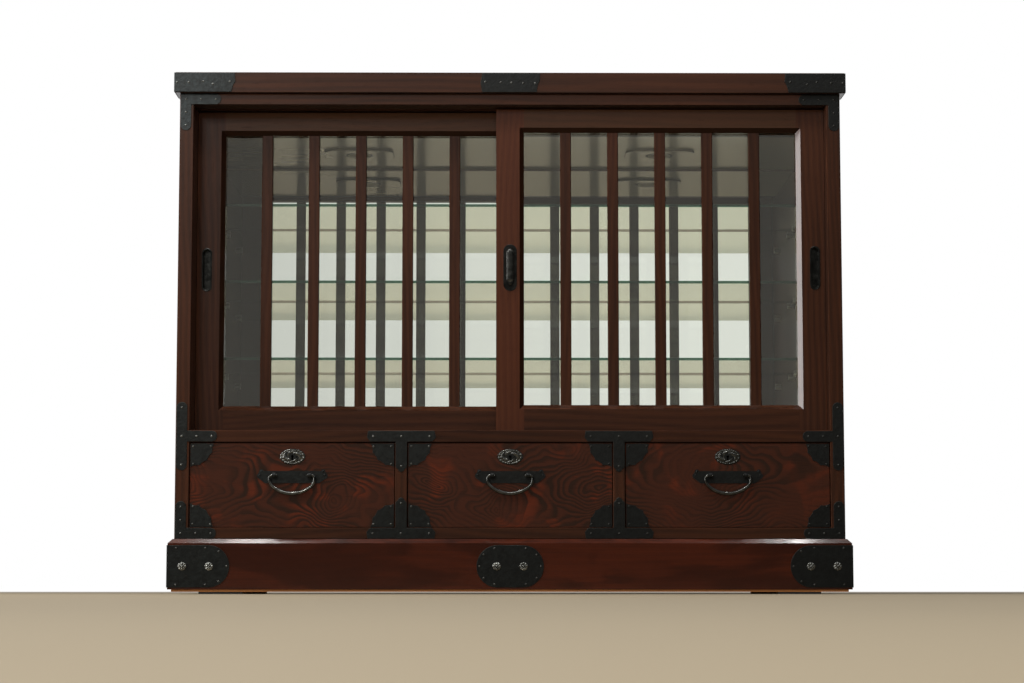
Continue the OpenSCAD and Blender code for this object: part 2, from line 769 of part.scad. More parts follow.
// Corner irons wrap from the front edge of the top board round to its side
module top_board_irons() color(iron) {
  z = top_z + edge_c;
  on_front(0, -top_front_lip, z) linear_extrude(iron_t) top_mid_iron_shape(top_mid_iron_l, top_iron_h);
  both_sides() {
    on_front(top_w / 2 + iron_t, -top_front_lip, z) linear_extrude(iron_t)
      top_iron_shape(top_iron_l, top_iron_h);
    on_right(top_w / 2, -top_front_lip - iron_t, z) linear_extrude(iron_t)
      mirror([1, 0]) top_iron_shape(wing_iron_l, top_iron_h);
  }
}

// Straps on the posts, each upright with a level leg, and irons on the dividers
module case_irons() color(iron) {
  both_sides() {
    on_front(post_edge, 0, 0) linear_extrude(iron_t) {
      translate([0, head_strap_z]) strap_shape(strap_l, strap_w);
      upright_shape(head_strap_z + strap_w - strap_up, head_strap_z + strap_w, strap_w);
      translate([-strap_w, head_strap_z]) square(strap_w);
    }
    on_front(post_edge, 0, 0) linear_extrude(iron_t) {
      translate([0, sill_strap_z]) strap_shape(strap_l, strap_w);
      upright_shape(sill_z - strap_up * 0.75, sill_top + strap_up * 0.75, strap_w);
    }
    on_front(post_edge, 0, 0) linear_extrude(iron_t) {
      translate([0, bottom_strap_z]) strap_shape(strap_l, strap_w);
      upright_shape(bottom_strap_z, bottom_strap_z + strap_up, strap_w);
      translate([-strap_w, bottom_strap_z]) square(strap_w);
    }
    on_front(divider_iron_x, 0, 0) linear_extrude(iron_t) {
      translate([0, sill_strap_z]) divider_bar_shape(divider_iron_l, strap_w);
      translate([0, sill_strap_z + past]) tongue_shape(divider_tongue, divider_iron_w);
    }
    on_front(divider_iron_x, 0, 0) linear_extrude(iron_t) {
      translate([0, bottom_strap_z + strap_w]) mirror([0, 1])
        divider_bar_shape(divider_iron_l, strap_w);
      translate([0, bottom_strap_z + strap_w - past]) mirror([0, 1])
        tongue_shape(divider_tongue, divider_iron_w);
    }
  }
}

// Corner irons wrap round the plinth, and one sits in the middle
module plinth_irons() color(iron) {
  on_front(0, -plinth_front_lip, plinth_iron_z) linear_extrude(iron_t)
    plinth_mid_iron_shape(plinth_mid_iron_l, plinth_iron_h);
  both_sides() {
    on_front(plinth_w / 2 + iron_t, -plinth_front_lip, plinth_iron_z) linear_extrude(iron_t)
      plinth_iron_shape(plinth_iron_l, plinth_iron_h);
    on_right(plinth_w / 2, -plinth_front_lip - iron_t, plinth_iron_z) linear_extrude(iron_t)
      mirror([1, 0]) plinth_iron_shape(wing_iron_l, plinth_iron_h);
  }
}

// Two rosettes on each plinth iron
module plinth_rosettes() color(iron) {
  y = -plinth_front_lip - iron_t;
  z = plinth_iron_z + plinth_iron_h / 2;
  on_front(0, y, z) for (s = [-1, 1]) translate([s * rosette_pitch / 2, 0]) rosette();
  both_sides() on_front(plinth_w / 2 - rosette_inset, y, z)
    for (s = [0, 1]) translate([-s * rosette_pitch, 0]) rosette();
}

// Every nail of the fixed irons
module iron_nails() color(iron) {
  on_front(0, -top_front_lip, top_z + edge_c) nails(top_mid_nails(top_mid_iron_l, top_iron_h));
  on_front(0, -plinth_front_lip, plinth_iron_z)
    nails(plinth_mid_nails(plinth_mid_iron_l, plinth_iron_h));
  both_sides() {
    on_front(top_w / 2 + iron_t, -top_front_lip, top_z + edge_c)
      nails(top_nails(top_iron_l, top_iron_h));
    on_front(plinth_w / 2 + iron_t, -plinth_front_lip, plinth_iron_z)
      nails(plinth_nails(plinth_iron_l, plinth_iron_h));
    on_front(post_edge, 0, head_strap_z) nails(strap_nails(strap_l, strap_w));
    on_front(post_edge, 0, sill_strap_z) nails(strap_nails(strap_l, strap_w));
    on_front(post_edge, 0, bottom_strap_z) nails(strap_nails(strap_l, strap_w));
    on_front(post_edge, 0, 0) {
      nails(upright_nails(head_strap_z + strap_w - strap_up, head_strap_z + strap_w, strap_w));
      nails(upright_nails(sill_z - strap_up * 0.75, sill_top + strap_up * 0.75, strap_w));
      nails(upright_nails(bottom_strap_z, bottom_strap_z + strap_up, strap_w));
    }
    on_front(divider_iron_x, 0, sill_strap_z) {
      nails(divider_nails(divider_iron_l, strap_w));
      nails([[0, past - divider_tongue + divider_iron_w / 2]]);
    }
    on_front(divider_iron_x, 0, bottom_strap_z) {
      nails(divider_nails(divider_iron_l, strap_w));
      nails([[0, strap_w - past + divider_tongue - divider_iron_w / 2]]);
    }
  }
}

// Doors, drawn from their lower left front corner

// Bevelled well round the glazing: two tapered bands crossed, so its corners are mitred
module glazing_bevel() intersection() {
  translate([0, -past, 0]) linear_extrude(door_h)
    polygon([[stile_w - bevel - past, 0], [door_w - stile_w + bevel + past, 0],
      [door_w - stile_w, bevel + past], [stile_w, bevel + past]]);
  translate([0, -past, 0]) rotate([90, 0, 90]) linear_extrude(door_w)
    polygon([[0, glazing_z - bevel - past], [bevel + past, glazing_z],
      [bevel + past, glazing_z + glazing_h], [0, glazing_z + glazing_h + bevel + past]]);
}

// Room for the glass and its groove
module glass_slot() translate([stile_w - glass_in, glass_d - slide_gap, glazing_z - glass_in])
  cube([glazing_w + 2 * glass_in, glass_t + 2 * slide_gap, glazing_h + 2 * glass_in]);

// Tongues that run in the sill and head grooves, from x0 to x1
module tongues(x0, x1) {
  low = -shoulder_gap - sill_groove + slide_gap;
  high = door_h + head_gap + tongue_in;
  for (z = [[low, 0], [door_h, high]]) translate([x0, (door_t - tongue_t) / 2, z[0]])
    cube([x1 - x0, tongue_t, z[1] - z[0]]);
}

module door_stiles_shape() difference() {
  for (x = [0, door_w - stile_w]) union() {
    translate([x, 0, 0]) cube([stile_w, door_t, door_h]);
    tongues(x, x + stile_w);
  }
  glazing_bevel();
  glass_slot();
}

module door_rails_shape() difference() {
  union() {
    translate([stile_w, 0, 0]) cube([glazing_w, door_t, door_bottom_h]);
    translate([stile_w, 0, door_h - door_top_h]) cube([glazing_w, door_t, door_top_h]);
    tongues(stile_w, door_w - stile_w);
  }
  glazing_bevel();
  glass_slot();
}

module door_bars_shape() for (i = [0:bar_count - 1])
  translate([stile_w + bar_gap + i * (bar_w + bar_gap), bar_d, glazing_z])
    beam_z(bar_w, bar_t, glazing_h, edge_c);

module door_glass_shape()
  translate([stile_w - glass_in + slide_gap, glass_d, glazing_z - glass_in + slide_gap])
    cube([glazing_w + 2 * (glass_in - slide_gap), glass_t, glazing_h + 2 * (glass_in - slide_gap)]);

// Pocket in a stile for a recessed pull
module pull_pocket(x) translate([x, -past, pull_z]) rotate([-90, 0, 0])
  linear_extrude(pull_depth + pull_wall + past)
    capsule(pull_w - 2 * pull_rim + 2 * seat_gap, pull_h - 2 * pull_rim + 2 * seat_gap);

// Recessed pull: a round-ended cup with a rim that lies on the stile
module recessed_pull(x) translate([x, 0, pull_z]) difference() {
  union() {
    translate([0, -pull_rim_h, 0]) rotate([-90, 0, 0]) linear_extrude(pull_rim_h)
      capsule(pull_w, pull_h);
    rotate([-90, 0, 0]) linear_extrude(pull_depth + pull_wall - seat_gap)
      capsule(pull_w - 2 * pull_rim, pull_h - 2 * pull_rim);
  }
  translate([0, -pull_rim_h - past, 0]) rotate([-90, 0, 0])
    linear_extrude(pull_depth + pull_rim_h + past)
      capsule(pull_w - 2 * pull_rim - 2 * pull_wall, pull_h - 2 * pull_rim - 2 * pull_wall);
}

// Raised grip: a broad bar on two legs that stand on a long plate
module raised_grip(x) translate([x, 0, pull_z]) rotate([90, 0, 0]) {
  leg = grip_bar_w * 0.8;
  linear_extrude(iron_t) capsule(grip_w, grip_h);
  translate([0, 0, grip_out - grip_bar_t]) linear_extrude(grip_bar_t) capsule(grip_bar_w, grip_bar_l);
  for (s = [-1, 1]) translate([0, s * (grip_bar_l - grip_bar_w) / 2, iron_t / 2])
    cylinder(r = leg / 2, h = grip_out - grip_bar_t);
}

module at_left_door() at(left_door_x, rear_door_set, door_z) children();
module at_right_door() at(right_door_x, door_set, door_z) children();

module left_door_stiles() color(wood) at_left_door() difference() {
  door_stiles_shape();
  pull_pocket(pull_inset);
}
module left_door_rails() color(wood) at_left_door() door_rails_shape();
module left_door_bars() color(wood) at_left_door() door_bars_shape();
module left_door_glass() color(glass) at_left_door() door_glass_shape();
module left_door_pull() color(iron) at_left_door() recessed_pull(pull_inset);

module right_door_stiles() color(wood) at_right_door() difference() {
  door_stiles_shape();
  pull_pocket(door_w - pull_inset);
}
module right_door_rails() color(wood) at_right_door() door_rails_shape();
module right_door_bars() color(wood) at_right_door() door_bars_shape();
module right_door_glass() color(glass) at_right_door() door_glass_shape();
module right_door_pulls() color(iron) at_right_door() {
  recessed_pull(door_w - pull_inset);
  raised_grip(stile_w / 2);
}

// Drawers, drawn about the middle of their front's lower edge

module at_drawer(i) at(i * drawer_pitch, drawer_set, drawer_z) children();

// Lays an outline on a drawer's face at a height above its lower edge
module on_drawer(z) translate([0, 0, z]) rotate([90, 0, 0]) children();

module drawer_front_shape() difference() {
  translate([-drawer_w / 2, 0, 0]) slab(drawer_w, drawer_front_t, drawer_h);
  lock_room();
  translate([0, 0, lock_z]) rotate([90, 0, 0])
    translate([0, 0, -drawer_front_t]) linear_extrude(drawer_front_t + past) keyhole_shape();
  for (s = [-1, 1]) translate([s * eye_x, -past, bail_z]) rotate([-90, 0, 0])
    cylinder(r = shank_r + seat_gap, h = drawer_front_t + 2 * past);
}

// Pocket for the lock case, open at the back and at the top
module lock_room() translate([-lock_w / 2, drawer_front_t - lock_t, drawer_h - lock_h])
  cube([lock_w, lock_t + past, lock_h + past]);

// Bottom, two sides and a back that stands between them
module drawer_box_shape() {
  translate([-drawer_box_w / 2, drawer_front_t, 0]) cube([drawer_box_w, drawer_box_l, drawer_floor]);
  for (s = [-1, 1]) translate([s * (drawer_box_w - drawer_wall) / 2 - drawer_wall / 2,
      drawer_front_t, drawer_floor])
    cube([drawer_wall, drawer_box_l, drawer_wall_h]);
  translate([-drawer_box_w / 2 + drawer_wall, drawer_front_t + drawer_box_l - drawer_wall, drawer_floor])
    cube([drawer_box_w - 2 * drawer_wall, drawer_wall, drawer_wall_h]);
}

// A quarter-round plate with its nails in each corner of the front
module drawer_irons_shape() for (sx = [0, 1], sz = [0, 1]) mirror([sx, 0, 0])
  translate([0, 0, sz * drawer_h]) mirror([0, 0, sz])
    translate([-drawer_w / 2 + edge_c, 0, edge_c]) rotate([90, 0, 0]) {
      linear_extrude(iron_t) quarter_shape(corner_iron_r);
      nails(quarter_nails(corner_iron_r));
    }

// Winged plate and the two eyes whose shanks pass through the drawer front
module backplate_shape() on_drawer(bail_z) {
  difference() {
    linear_extrude(iron_t) wing_plate_shape();
    for (s = [-1, 1]) translate([s * eye_x, 0, -past])
      cylinder(r = shank_r + seat_gap, h = iron_t + 2 * past);
  }
  for (s = [-1, 1]) translate([s * eye_x, 0, 0]) eye();
  for (x = [-1, 1]) nails([[x * (wing_plate_l / 2 - nail_in), wing_plate_h * 0.03],
    [x * (wing_plate_l / 2 - 1.6 * nail_in), wing_plate_h * 0.35]]);
}

// Eye: a short tube across the front, on a shank clenched inside the drawer
module eye() {
  clench = 1;
  difference() {
    union() {
      translate([-eye_w / 2, 0, bail_out]) rotate([0, 90, 0]) cylinder(r = eye_r, h = eye_w);
      translate([0, 0, -drawer_front_t - clench / 2]) cylinder(r = shank_r, h = drawer_front_t + bail_out);
      translate([0, 0, -drawer_front_t - clench]) cylinder(r = shank_r + 1.5, h = clench);
      translate([0, 0, iron_t]) cylinder(r = eye_w / 2, h = bail_out - iron_t);
    }
    translate([-eye_w, 0, bail_out]) rotate([0, 90, 0]) cylinder(r = bail_pin_r + pin_fit, h = 2 * eye_w);
  }
}

// One end of the bail in its own plane: pin, bend, straight and side bend
module bail_end() {
  pin_x0 = eye_x - eye_w / 2 - slide_gap;
  head_t = 1.6;
  lap = 2;
  translate([pin_x0, 0, 0]) rotate([0, 90, 0]) cylinder(r = bail_pin_r, h = elbow_x - pin_x0 + past / 2);
  translate([pin_x0 - head_t, 0, 0]) rotate([0, 90, 0])
    cylinder(r = bail_pin_r + 0.8, h = head_t + seat_gap);
  translate([elbow_x, -elbow_r, 0]) rotate_extrude(angle = 90) translate([elbow_r, 0]) circle(bail_end_r);
  translate([elbow_x + elbow_r, bail_side_z, 0]) rotate([-90, 0, 0])
    cylinder(r = bail_end_r, h = -elbow_r - bail_side_z);
  translate([bail_side_x, bail_side_z, 0]) mirror([0, 1, 0])
    rotate_extrude(angle = 90 - bail_turn + lap) translate([bail_side_r, 0]) circle(bail_end_r);
}

// Both ends joined by one long bend
module bail_shape() on_drawer(bail_z) translate([0, 0, bail_out]) {
  both_sides() bail_end();
  translate([0, bail_low_z, 0]) rotate(-90 - bail_turn)
    rotate_extrude(angle = 2 * bail_turn) translate([bail_low_r, 0]) circle(bail_r);
}

// Oval petalled plate in three steps with a keyhole, and the lock case behind the front
module lock_shape() {
  step = 1.1;
  on_drawer(lock_z) difference() {
    union() {
      linear_extrude(step) polygon(petal_oval(lock_plate_l, lock_plate_h, 16, 0.05));
      linear_extrude(2 * step) polygon(petal_oval(lock_plate_l * 0.72, lock_plate_h * 0.72, 12, 0.06));
      linear_extrude(3 * step) circle(lock_plate_h * 0.24);
    }
    translate([0, 0, -past]) linear_extrude(4 * step + past) keyhole_shape();
  }
  difference() {
    translate([-lock_w / 2, drawer_front_t - lock_t, drawer_h - lock_h]) cube([lock_w, lock_t, lock_h]);
    translate([-bolt_w / 2 - slide_gap, bolt_d - bolt_t / 2 - slide_gap, drawer_h - bolt_h - 2 * slide_gap])
      cube([bolt_w + 2 * slide_gap, bolt_t + 2 * slide_gap, bolt_h + 2 * slide_gap + past]);
    translate([0, bolt_d, lock_z]) rotate([90, 0, 0]) linear_extrude(lock_t) keyhole_shape();
  }
}

module bolt_shape() translate([-bolt_w / 2, bolt_d - bolt_t / 2, drawer_h - bolt_h - slide_gap])
  cube([bolt_w, bolt_t, bolt_h]);

module left_drawer_front() color(wood_grain) at_drawer(-1) drawer_front_shape();
module left_drawer_box() color(wood_pale) at_drawer(-1) drawer_box_shape();
module left_drawer_irons() color(iron) at_drawer(-1) drawer_irons_shape();
module left_drawer_backplate() color(iron) at_drawer(-1) backplate_shape();
module left_drawer_bail() color(iron) at_drawer(-1) bail_shape();
module left_drawer_lock() color(iron) at_drawer(-1) lock_shape();
module left_drawer_bolt() color(silver) at_drawer(-1) bolt_shape();

module middle_drawer_front() color(wood_grain) at_drawer(0) drawer_front_shape();
module middle_drawer_box() color(wood_pale) at_drawer(0) drawer_box_shape();
module middle_drawer_irons() color(iron) at_drawer(0) drawer_irons_shape();
module middle_drawer_backplate() color(iron) at_drawer(0) backplate_shape();
module middle_drawer_bail() color(iron) at_drawer(0) bail_shape();
module middle_drawer_lock() color(iron) at_drawer(0) lock_shape();
module middle_drawer_bolt() color(silver) at_drawer(0) bolt_shape();

module right_drawer_front() color(wood_grain) at_drawer(1) drawer_front_shape();
module right_drawer_box() color(wood_pale) at_drawer(1) drawer_box_shape();
module right_drawer_irons() color(iron) at_drawer(1) drawer_irons_shape();
module right_drawer_backplate() color(iron) at_drawer(1) backplate_shape();
module right_drawer_bail() color(iron) at_drawer(1) bail_shape();
module right_drawer_lock() color(iron) at_drawer(1) lock_shape();
module right_drawer_bolt() color(silver) at_drawer(1) bolt_shape();

top_board();
side_left();
side_right();
head_rail();
sill_rail();
case_floor();
bottom_rail();
bottom_board();
drawer_dividers();
back_panel();
back_mirror();
ceiling_panel();
ceiling_fascia();
lamp_housings();
lamp_lenses();
cable_gland();
plinth_front();
plinth_frame();
plinth_battens();
foot_pads();
shelf_top();
shelf_middle();
shelf_bottom();
shelf_pins();
top_board_irons();
case_irons();
plinth_irons();
plinth_rosettes();
iron_nails();
left_door_stiles();
left_door_rails();
left_door_bars();
left_door_glass();
left_door_pull();
right_door_stiles();
right_door_rails();
right_door_bars();
right_door_glass();
right_door_pulls();
left_drawer_front();
left_drawer_box();
left_drawer_irons();
left_drawer_backplate();
left_drawer_bail();
left_drawer_lock();
left_drawer_bolt();
middle_drawer_front();
middle_drawer_box();
middle_drawer_irons();
middle_drawer_backplate();
middle_drawer_bail();
middle_drawer_lock();
middle_drawer_bolt();
right_drawer_front();
right_drawer_box();
right_drawer_irons();
right_drawer_backplate();
right_drawer_bail();
right_drawer_lock();
right_drawer_bolt();
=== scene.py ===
"""Looks of a glass-fronted chest: lacquered boards, black ironwork, glass, mirror and lamps."""
import json
import math

import bmesh
import bpy
import numpy as np
from bpy.props import FloatProperty, FloatVectorProperty, IntProperty, PointerProperty
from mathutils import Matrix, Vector


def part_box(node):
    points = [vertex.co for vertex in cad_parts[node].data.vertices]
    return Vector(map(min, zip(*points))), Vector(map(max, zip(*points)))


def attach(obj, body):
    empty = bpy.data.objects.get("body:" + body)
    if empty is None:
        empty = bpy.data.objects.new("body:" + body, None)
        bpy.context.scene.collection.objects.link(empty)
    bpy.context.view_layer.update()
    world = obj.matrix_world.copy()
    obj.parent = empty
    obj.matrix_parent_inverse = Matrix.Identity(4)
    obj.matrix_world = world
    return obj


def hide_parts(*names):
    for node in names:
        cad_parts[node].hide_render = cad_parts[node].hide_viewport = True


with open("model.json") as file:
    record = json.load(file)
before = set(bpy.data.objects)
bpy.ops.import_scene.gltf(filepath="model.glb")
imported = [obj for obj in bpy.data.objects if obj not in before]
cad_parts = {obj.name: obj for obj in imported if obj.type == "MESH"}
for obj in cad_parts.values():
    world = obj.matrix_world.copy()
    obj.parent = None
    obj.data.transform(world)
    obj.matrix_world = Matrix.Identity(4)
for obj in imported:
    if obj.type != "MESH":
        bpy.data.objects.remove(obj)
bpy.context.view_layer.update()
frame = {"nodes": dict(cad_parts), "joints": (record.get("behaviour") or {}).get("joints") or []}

bl_info = {
    "name": "Display cabinet looks",
    "version": (1, 0, 0),
    "blender": (4, 5, 0),
    "location": "3D View > Sidebar > Cabinet",
    "description": "Finishes and small ironwork for a glass-fronted chest",
    "category": "Object",
}

MM = 0.001
SIDES = ("left", "middle", "right")
NODES = frame["nodes"]
JOINTS = {j["name"]: j for j in frame["joints"]}

# Middles of the figure on each drawer front, as X and Z in metres
FIGURE_MIDDLES = {
    "left": [(-0.550, 0.199), (-0.300, 0.165)],
    "middle": [(0.158, 0.192), (-0.135, 0.195), (-0.025, 0.155)],
    "right": [(0.340, 0.222)],
}


# Sizes and colours that a user may change

class CabinetSizes(bpy.types.PropertyGroup):
    """Sizes of the small ironwork and of the lighting"""
    plate_edge: FloatProperty(name="Plate edge", description="Rounding of the iron plates' edges",
                              default=0.45 * MM, unit="LENGTH")
    stud_radius: FloatProperty(name="Nail radius", default=2.0 * MM, unit="LENGTH",
                               description="Radius of the nails of the drawers' corner irons")
    bail_middle: FloatProperty(name="Bail middle", description="Radius of a bail at its lowest point",
                               default=3.4 * MM, unit="LENGTH")
    bail_end: FloatProperty(name="Bail end", description="Radius of a bail beside its eyes",
                            default=2.45 * MM, unit="LENGTH")
    rosette_radius: FloatProperty(name="Rosette radius", default=7.6 * MM, unit="LENGTH",
                                  description="Radius of a plinth rosette over its petals")
    rosette_pitch: FloatProperty(name="Rosette pitch", default=47 * MM, unit="LENGTH",
                                 description="Distance between the two rosettes of a plinth iron")
    petals: IntProperty(name="Petals", description="Petals round a lock plate", default=22)
    side_light: FloatProperty(name="Side light", description="Power of the light on the left",
                              default=45.0, unit="POWER")
    top_light: FloatProperty(name="Top light", description="Power of the light overhead",
                             default=26.0, unit="POWER")
    key_light: FloatProperty(name="Key light", description="Power of the light at the front left",
                             default=14.0, unit="POWER")
    fill_light: FloatProperty(name="Fill light", description="Power of the soft light from the front",
                              default=37.0, unit="POWER")
    window_light: FloatProperty(name="Window light", default=36.0, unit="POWER",
                                description="Power of the high window behind the viewer's left")
    glint_light: FloatProperty(name="Glint light", default=12.0, unit="POWER",
                               description="Power of the small light that the plinth's chamfer shows")


def colour_property(name, description, default):
    """A colour that a user may change, stored as it is written for the shader"""
    return FloatVectorProperty(name=name, description=description, default=default,
                               subtype="COLOR", size=3, min=0.0, max=1.0)


class CabinetColours(bpy.types.PropertyGroup):
    """Colours of the finishes"""
    wood_dark: colour_property("Wood, dark", "Dark lines of the lacquered boards", (0.019, 0.0082, 0.0047))
    wood_red: colour_property("Wood, red", "Lighter ground of the lacquered boards", (0.053, 0.0178, 0.0080))
    figure_dark: colour_property("Figure, dark", "Dark lines of the drawer fronts", (0.020, 0.0095, 0.0058))
    figure_brown: colour_property("Figure, brown", "Ground of the drawer fronts", (0.042, 0.0130, 0.0068))
    figure_red: colour_property("Figure, red", "Glowing zones of the drawer fronts", (0.080, 0.0160, 0.0062))
    plinth_dark: colour_property("Plinth, dark", "Dark lines of the plinth", (0.024, 0.0056, 0.0024))
    plinth_red: colour_property("Plinth, red", "Ground of the plinth", (0.053, 0.0096, 0.0030))
    raw_wood: colour_property("Raw wood", "Bare strips under the plinth", (0.52, 0.22, 0.07))
    pale_wood: colour_property("Pale wood", "Inside boards and drawer boxes", (0.50, 0.36, 0.21))
    # Its dark colour paints the shade of the strip seen above the mirror
    shaded_back_wood: colour_property("Back wood", "Stained panel behind the mirror", (0.085, 0.062, 0.042))
    iron: colour_property("Iron", "Blackened iron", (0.0034, 0.0044, 0.0041))
    polished_iron: colour_property("Polished iron", "Handled parts and nail heads", (0.055, 0.056, 0.052))
    ceiling: colour_property("Ceiling", "Painted panel and lamps", (0.215, 0.200, 0.142))
    glass_edge: colour_property("Glass edge", "Green of the shelves' edges", (0.050, 0.150, 0.100))
    floor: colour_property("Floor", "The pale floor", (0.312, 0.254, 0.167))


# Shader maths

class Value:
    """One shader socket. A sum on it adds its Math node, and sums of plain numbers stay in Python."""

    def __init__(self, finish, socket):
        self.finish, self.socket = finish, socket

    def math(self, operation, *parts):
        return self.finish.add("ShaderNodeMath", {"operation": operation}, dict(enumerate(parts)))

    def __add__(self, other):
        return self.math("ADD", self, other)

    def __sub__(self, other):
        return self.math("SUBTRACT", self, other)

    def __rsub__(self, other):
        return self.math("SUBTRACT", other, self)

    def __mul__(self, other):
        return self.math("MULTIPLY", self, other)

    def __truediv__(self, other):
        return self.math("DIVIDE", self, other)

    def __rtruediv__(self, other):
        return self.math("DIVIDE", other, self)

    def __pow__(self, other):
        return self.math("POWER", self, other)

    __radd__ = __add__
    __rmul__ = __mul__

    def sine(self):
        return self.math("SINE", self)

    def size(self):
        return self.math("ABSOLUTE", self)

    def fraction(self):
        return self.math("FRACT", self)

    def at_least(self, other):
        return self.math("MAXIMUM", self, other)

    def at_most(self, other):
        return self.math("MINIMUM", self, other)

    def step(self, low, high):
        """0 below low, 1 above high and smooth between, or the other way round if low is higher"""
        if low > high:
            return 1 - self.step(high, low)
        return self.finish.add("ShaderNodeMapRange", {"interpolation_type": "SMOOTHSTEP"},
                               {0: self, 1: low, 2: high})


class Finish:
    """One material and the nodes that make it"""

    def __init__(self, name):
        self.made = bpy.data.materials.new(name)
        self.start("ShaderNodeOutputMaterial")

    def start(self, output):
        """Empties the node tree but for its output"""
        self.made.use_nodes = True
        self.tree = self.made.node_tree
        self.tree.nodes.clear()
        self.output = self.tree.nodes.new(output)

    def add(self, kind, settings=None, sockets=None, out=0):
        """Adds a node: its settings first, then the values or links of its sockets"""
        node = self.tree.nodes.new(kind)
        for key, value in (settings or {}).items():
            setattr(node, key, value)
        for key, value in (sockets or {}).items():
            socket = node.inputs[key]
            if isinstance(value, Value):
                self.tree.links.new(value.socket, socket)
            else:
                socket.default_value = value
        return Value(self, node.outputs[out])

    def split(self, vector):
        """The three values of a vector"""
        node = self.add("ShaderNodeSeparateXYZ", sockets={0: vector}).socket.node
        return [Value(self, s) for s in node.outputs]

    def place(self):
        """The point on the object as three values, in metres"""
        return self.split(self.add("ShaderNodeTexCoord", out="Object"))

    def normal(self):
        """A face's normal as three values"""
        return self.split(self.add("ShaderNodeNewGeometry", out="Normal"))

    def facing(self):
        """How far a face's normal lies along each axis, without sign"""
        return [v.size() for v in self.normal()]

    def chamfer(self):
        """1 on the slanting faces between boards' main faces, 0 on those that lie along an axis"""
        nx, ny, nz = self.facing()
        return nx.at_least(ny).at_least(nz).step(0.9, 0.8)

    def point(self, x, y, z):
        return self.add("ShaderNodeCombineXYZ", sockets={0: x, 1: y, 2: z})

    def noise(self, x, y, z, detail=2.0, rough=0.5, warp=0.0):
        """Cloudy noise from 0 to 1, one blotch to each unit of the point"""
        return self.add("ShaderNodeTexNoise", sockets={
            "Vector": self.point(x, y, z), "Scale": 1.0, "Detail": detail, "Roughness": rough,
            "Distortion": warp})

    def blend(self, factor, first, second):
        """Colour between two colours"""
        def as_colour(c):
            return c if isinstance(c, Value) else (*c, 1.0)
        return self.add("ShaderNodeMix", {"data_type": "RGBA"},
                        {0: factor, 6: as_colour(first), 7: as_colour(second)}, out=2)

    def bump(self, height, depth, strength=1.0):
        """Normal from a height of 0 to 1 that stands for a depth in metres"""
        return self.add("ShaderNodeBump", sockets={
            "Height": height, "Distance": depth, "Strength": strength})

    def surface(self, **sockets):
        """The Principled shader. An underscore in a name stands for a space."""
        named = {key.replace("_", " ").replace("Specular Level", "Specular IOR Level"): value
                 for key, value in sockets.items()}
        for key, value in named.items():
            if key.endswith("Color") and not isinstance(value, Value):
                named[key] = (*value, 1.0)
        return self.add("ShaderNodeBsdfPrincipled", sockets=named)

    def done(self, shader):
        self.tree.links.new(shader.socket, self.output.inputs["Surface"])
        return self.made


class Sky(Finish):
    """The world, whose nodes are made the same way"""

    def __init__(self, name):
        self.made = bpy.data.worlds.new(name)
        self.start("ShaderNodeOutputWorld")


def scaled(colour, *by):
    """A colour times one number, or times one number for each of red, green and blue"""
    return tuple(v * k for v, k in zip(colour, by * 3 if len(by) == 1 else by))


def along_grain(finish, along):
    """The point turned so that its first value runs along the grain"""
    x, y, z = finish.place()
    return {"X": (x, y, z), "Y": (y, x, z), "Z": (z, x, y)}[along]


def grain(finish, along, arch=0.05, ring=0.011):
    """Three patterns of a sawn board, each 0 to 1: ring bands, fine streaks and pores.
    The bands are a sine of the distance across the board, pushed about by slow noise that is
    stretched along the grain, so they run in long arches."""
    a, b, c = along_grain(finish, along)
    push = finish.noise(a * 1.3, b * 4, c * 4, detail=2)
    across = b + c * 0.8 + push * (arch * 2)
    bands = (across * (2 * math.pi / ring)).sine() * 0.5 + 0.5
    streaks = finish.noise(a * 7, b * 330, c * 330, detail=3, rough=0.6)
    pores = finish.noise(a * 45, b * 1500, c * 1500, detail=1).step(0.62, 0.72)
    return bands, streaks, pores


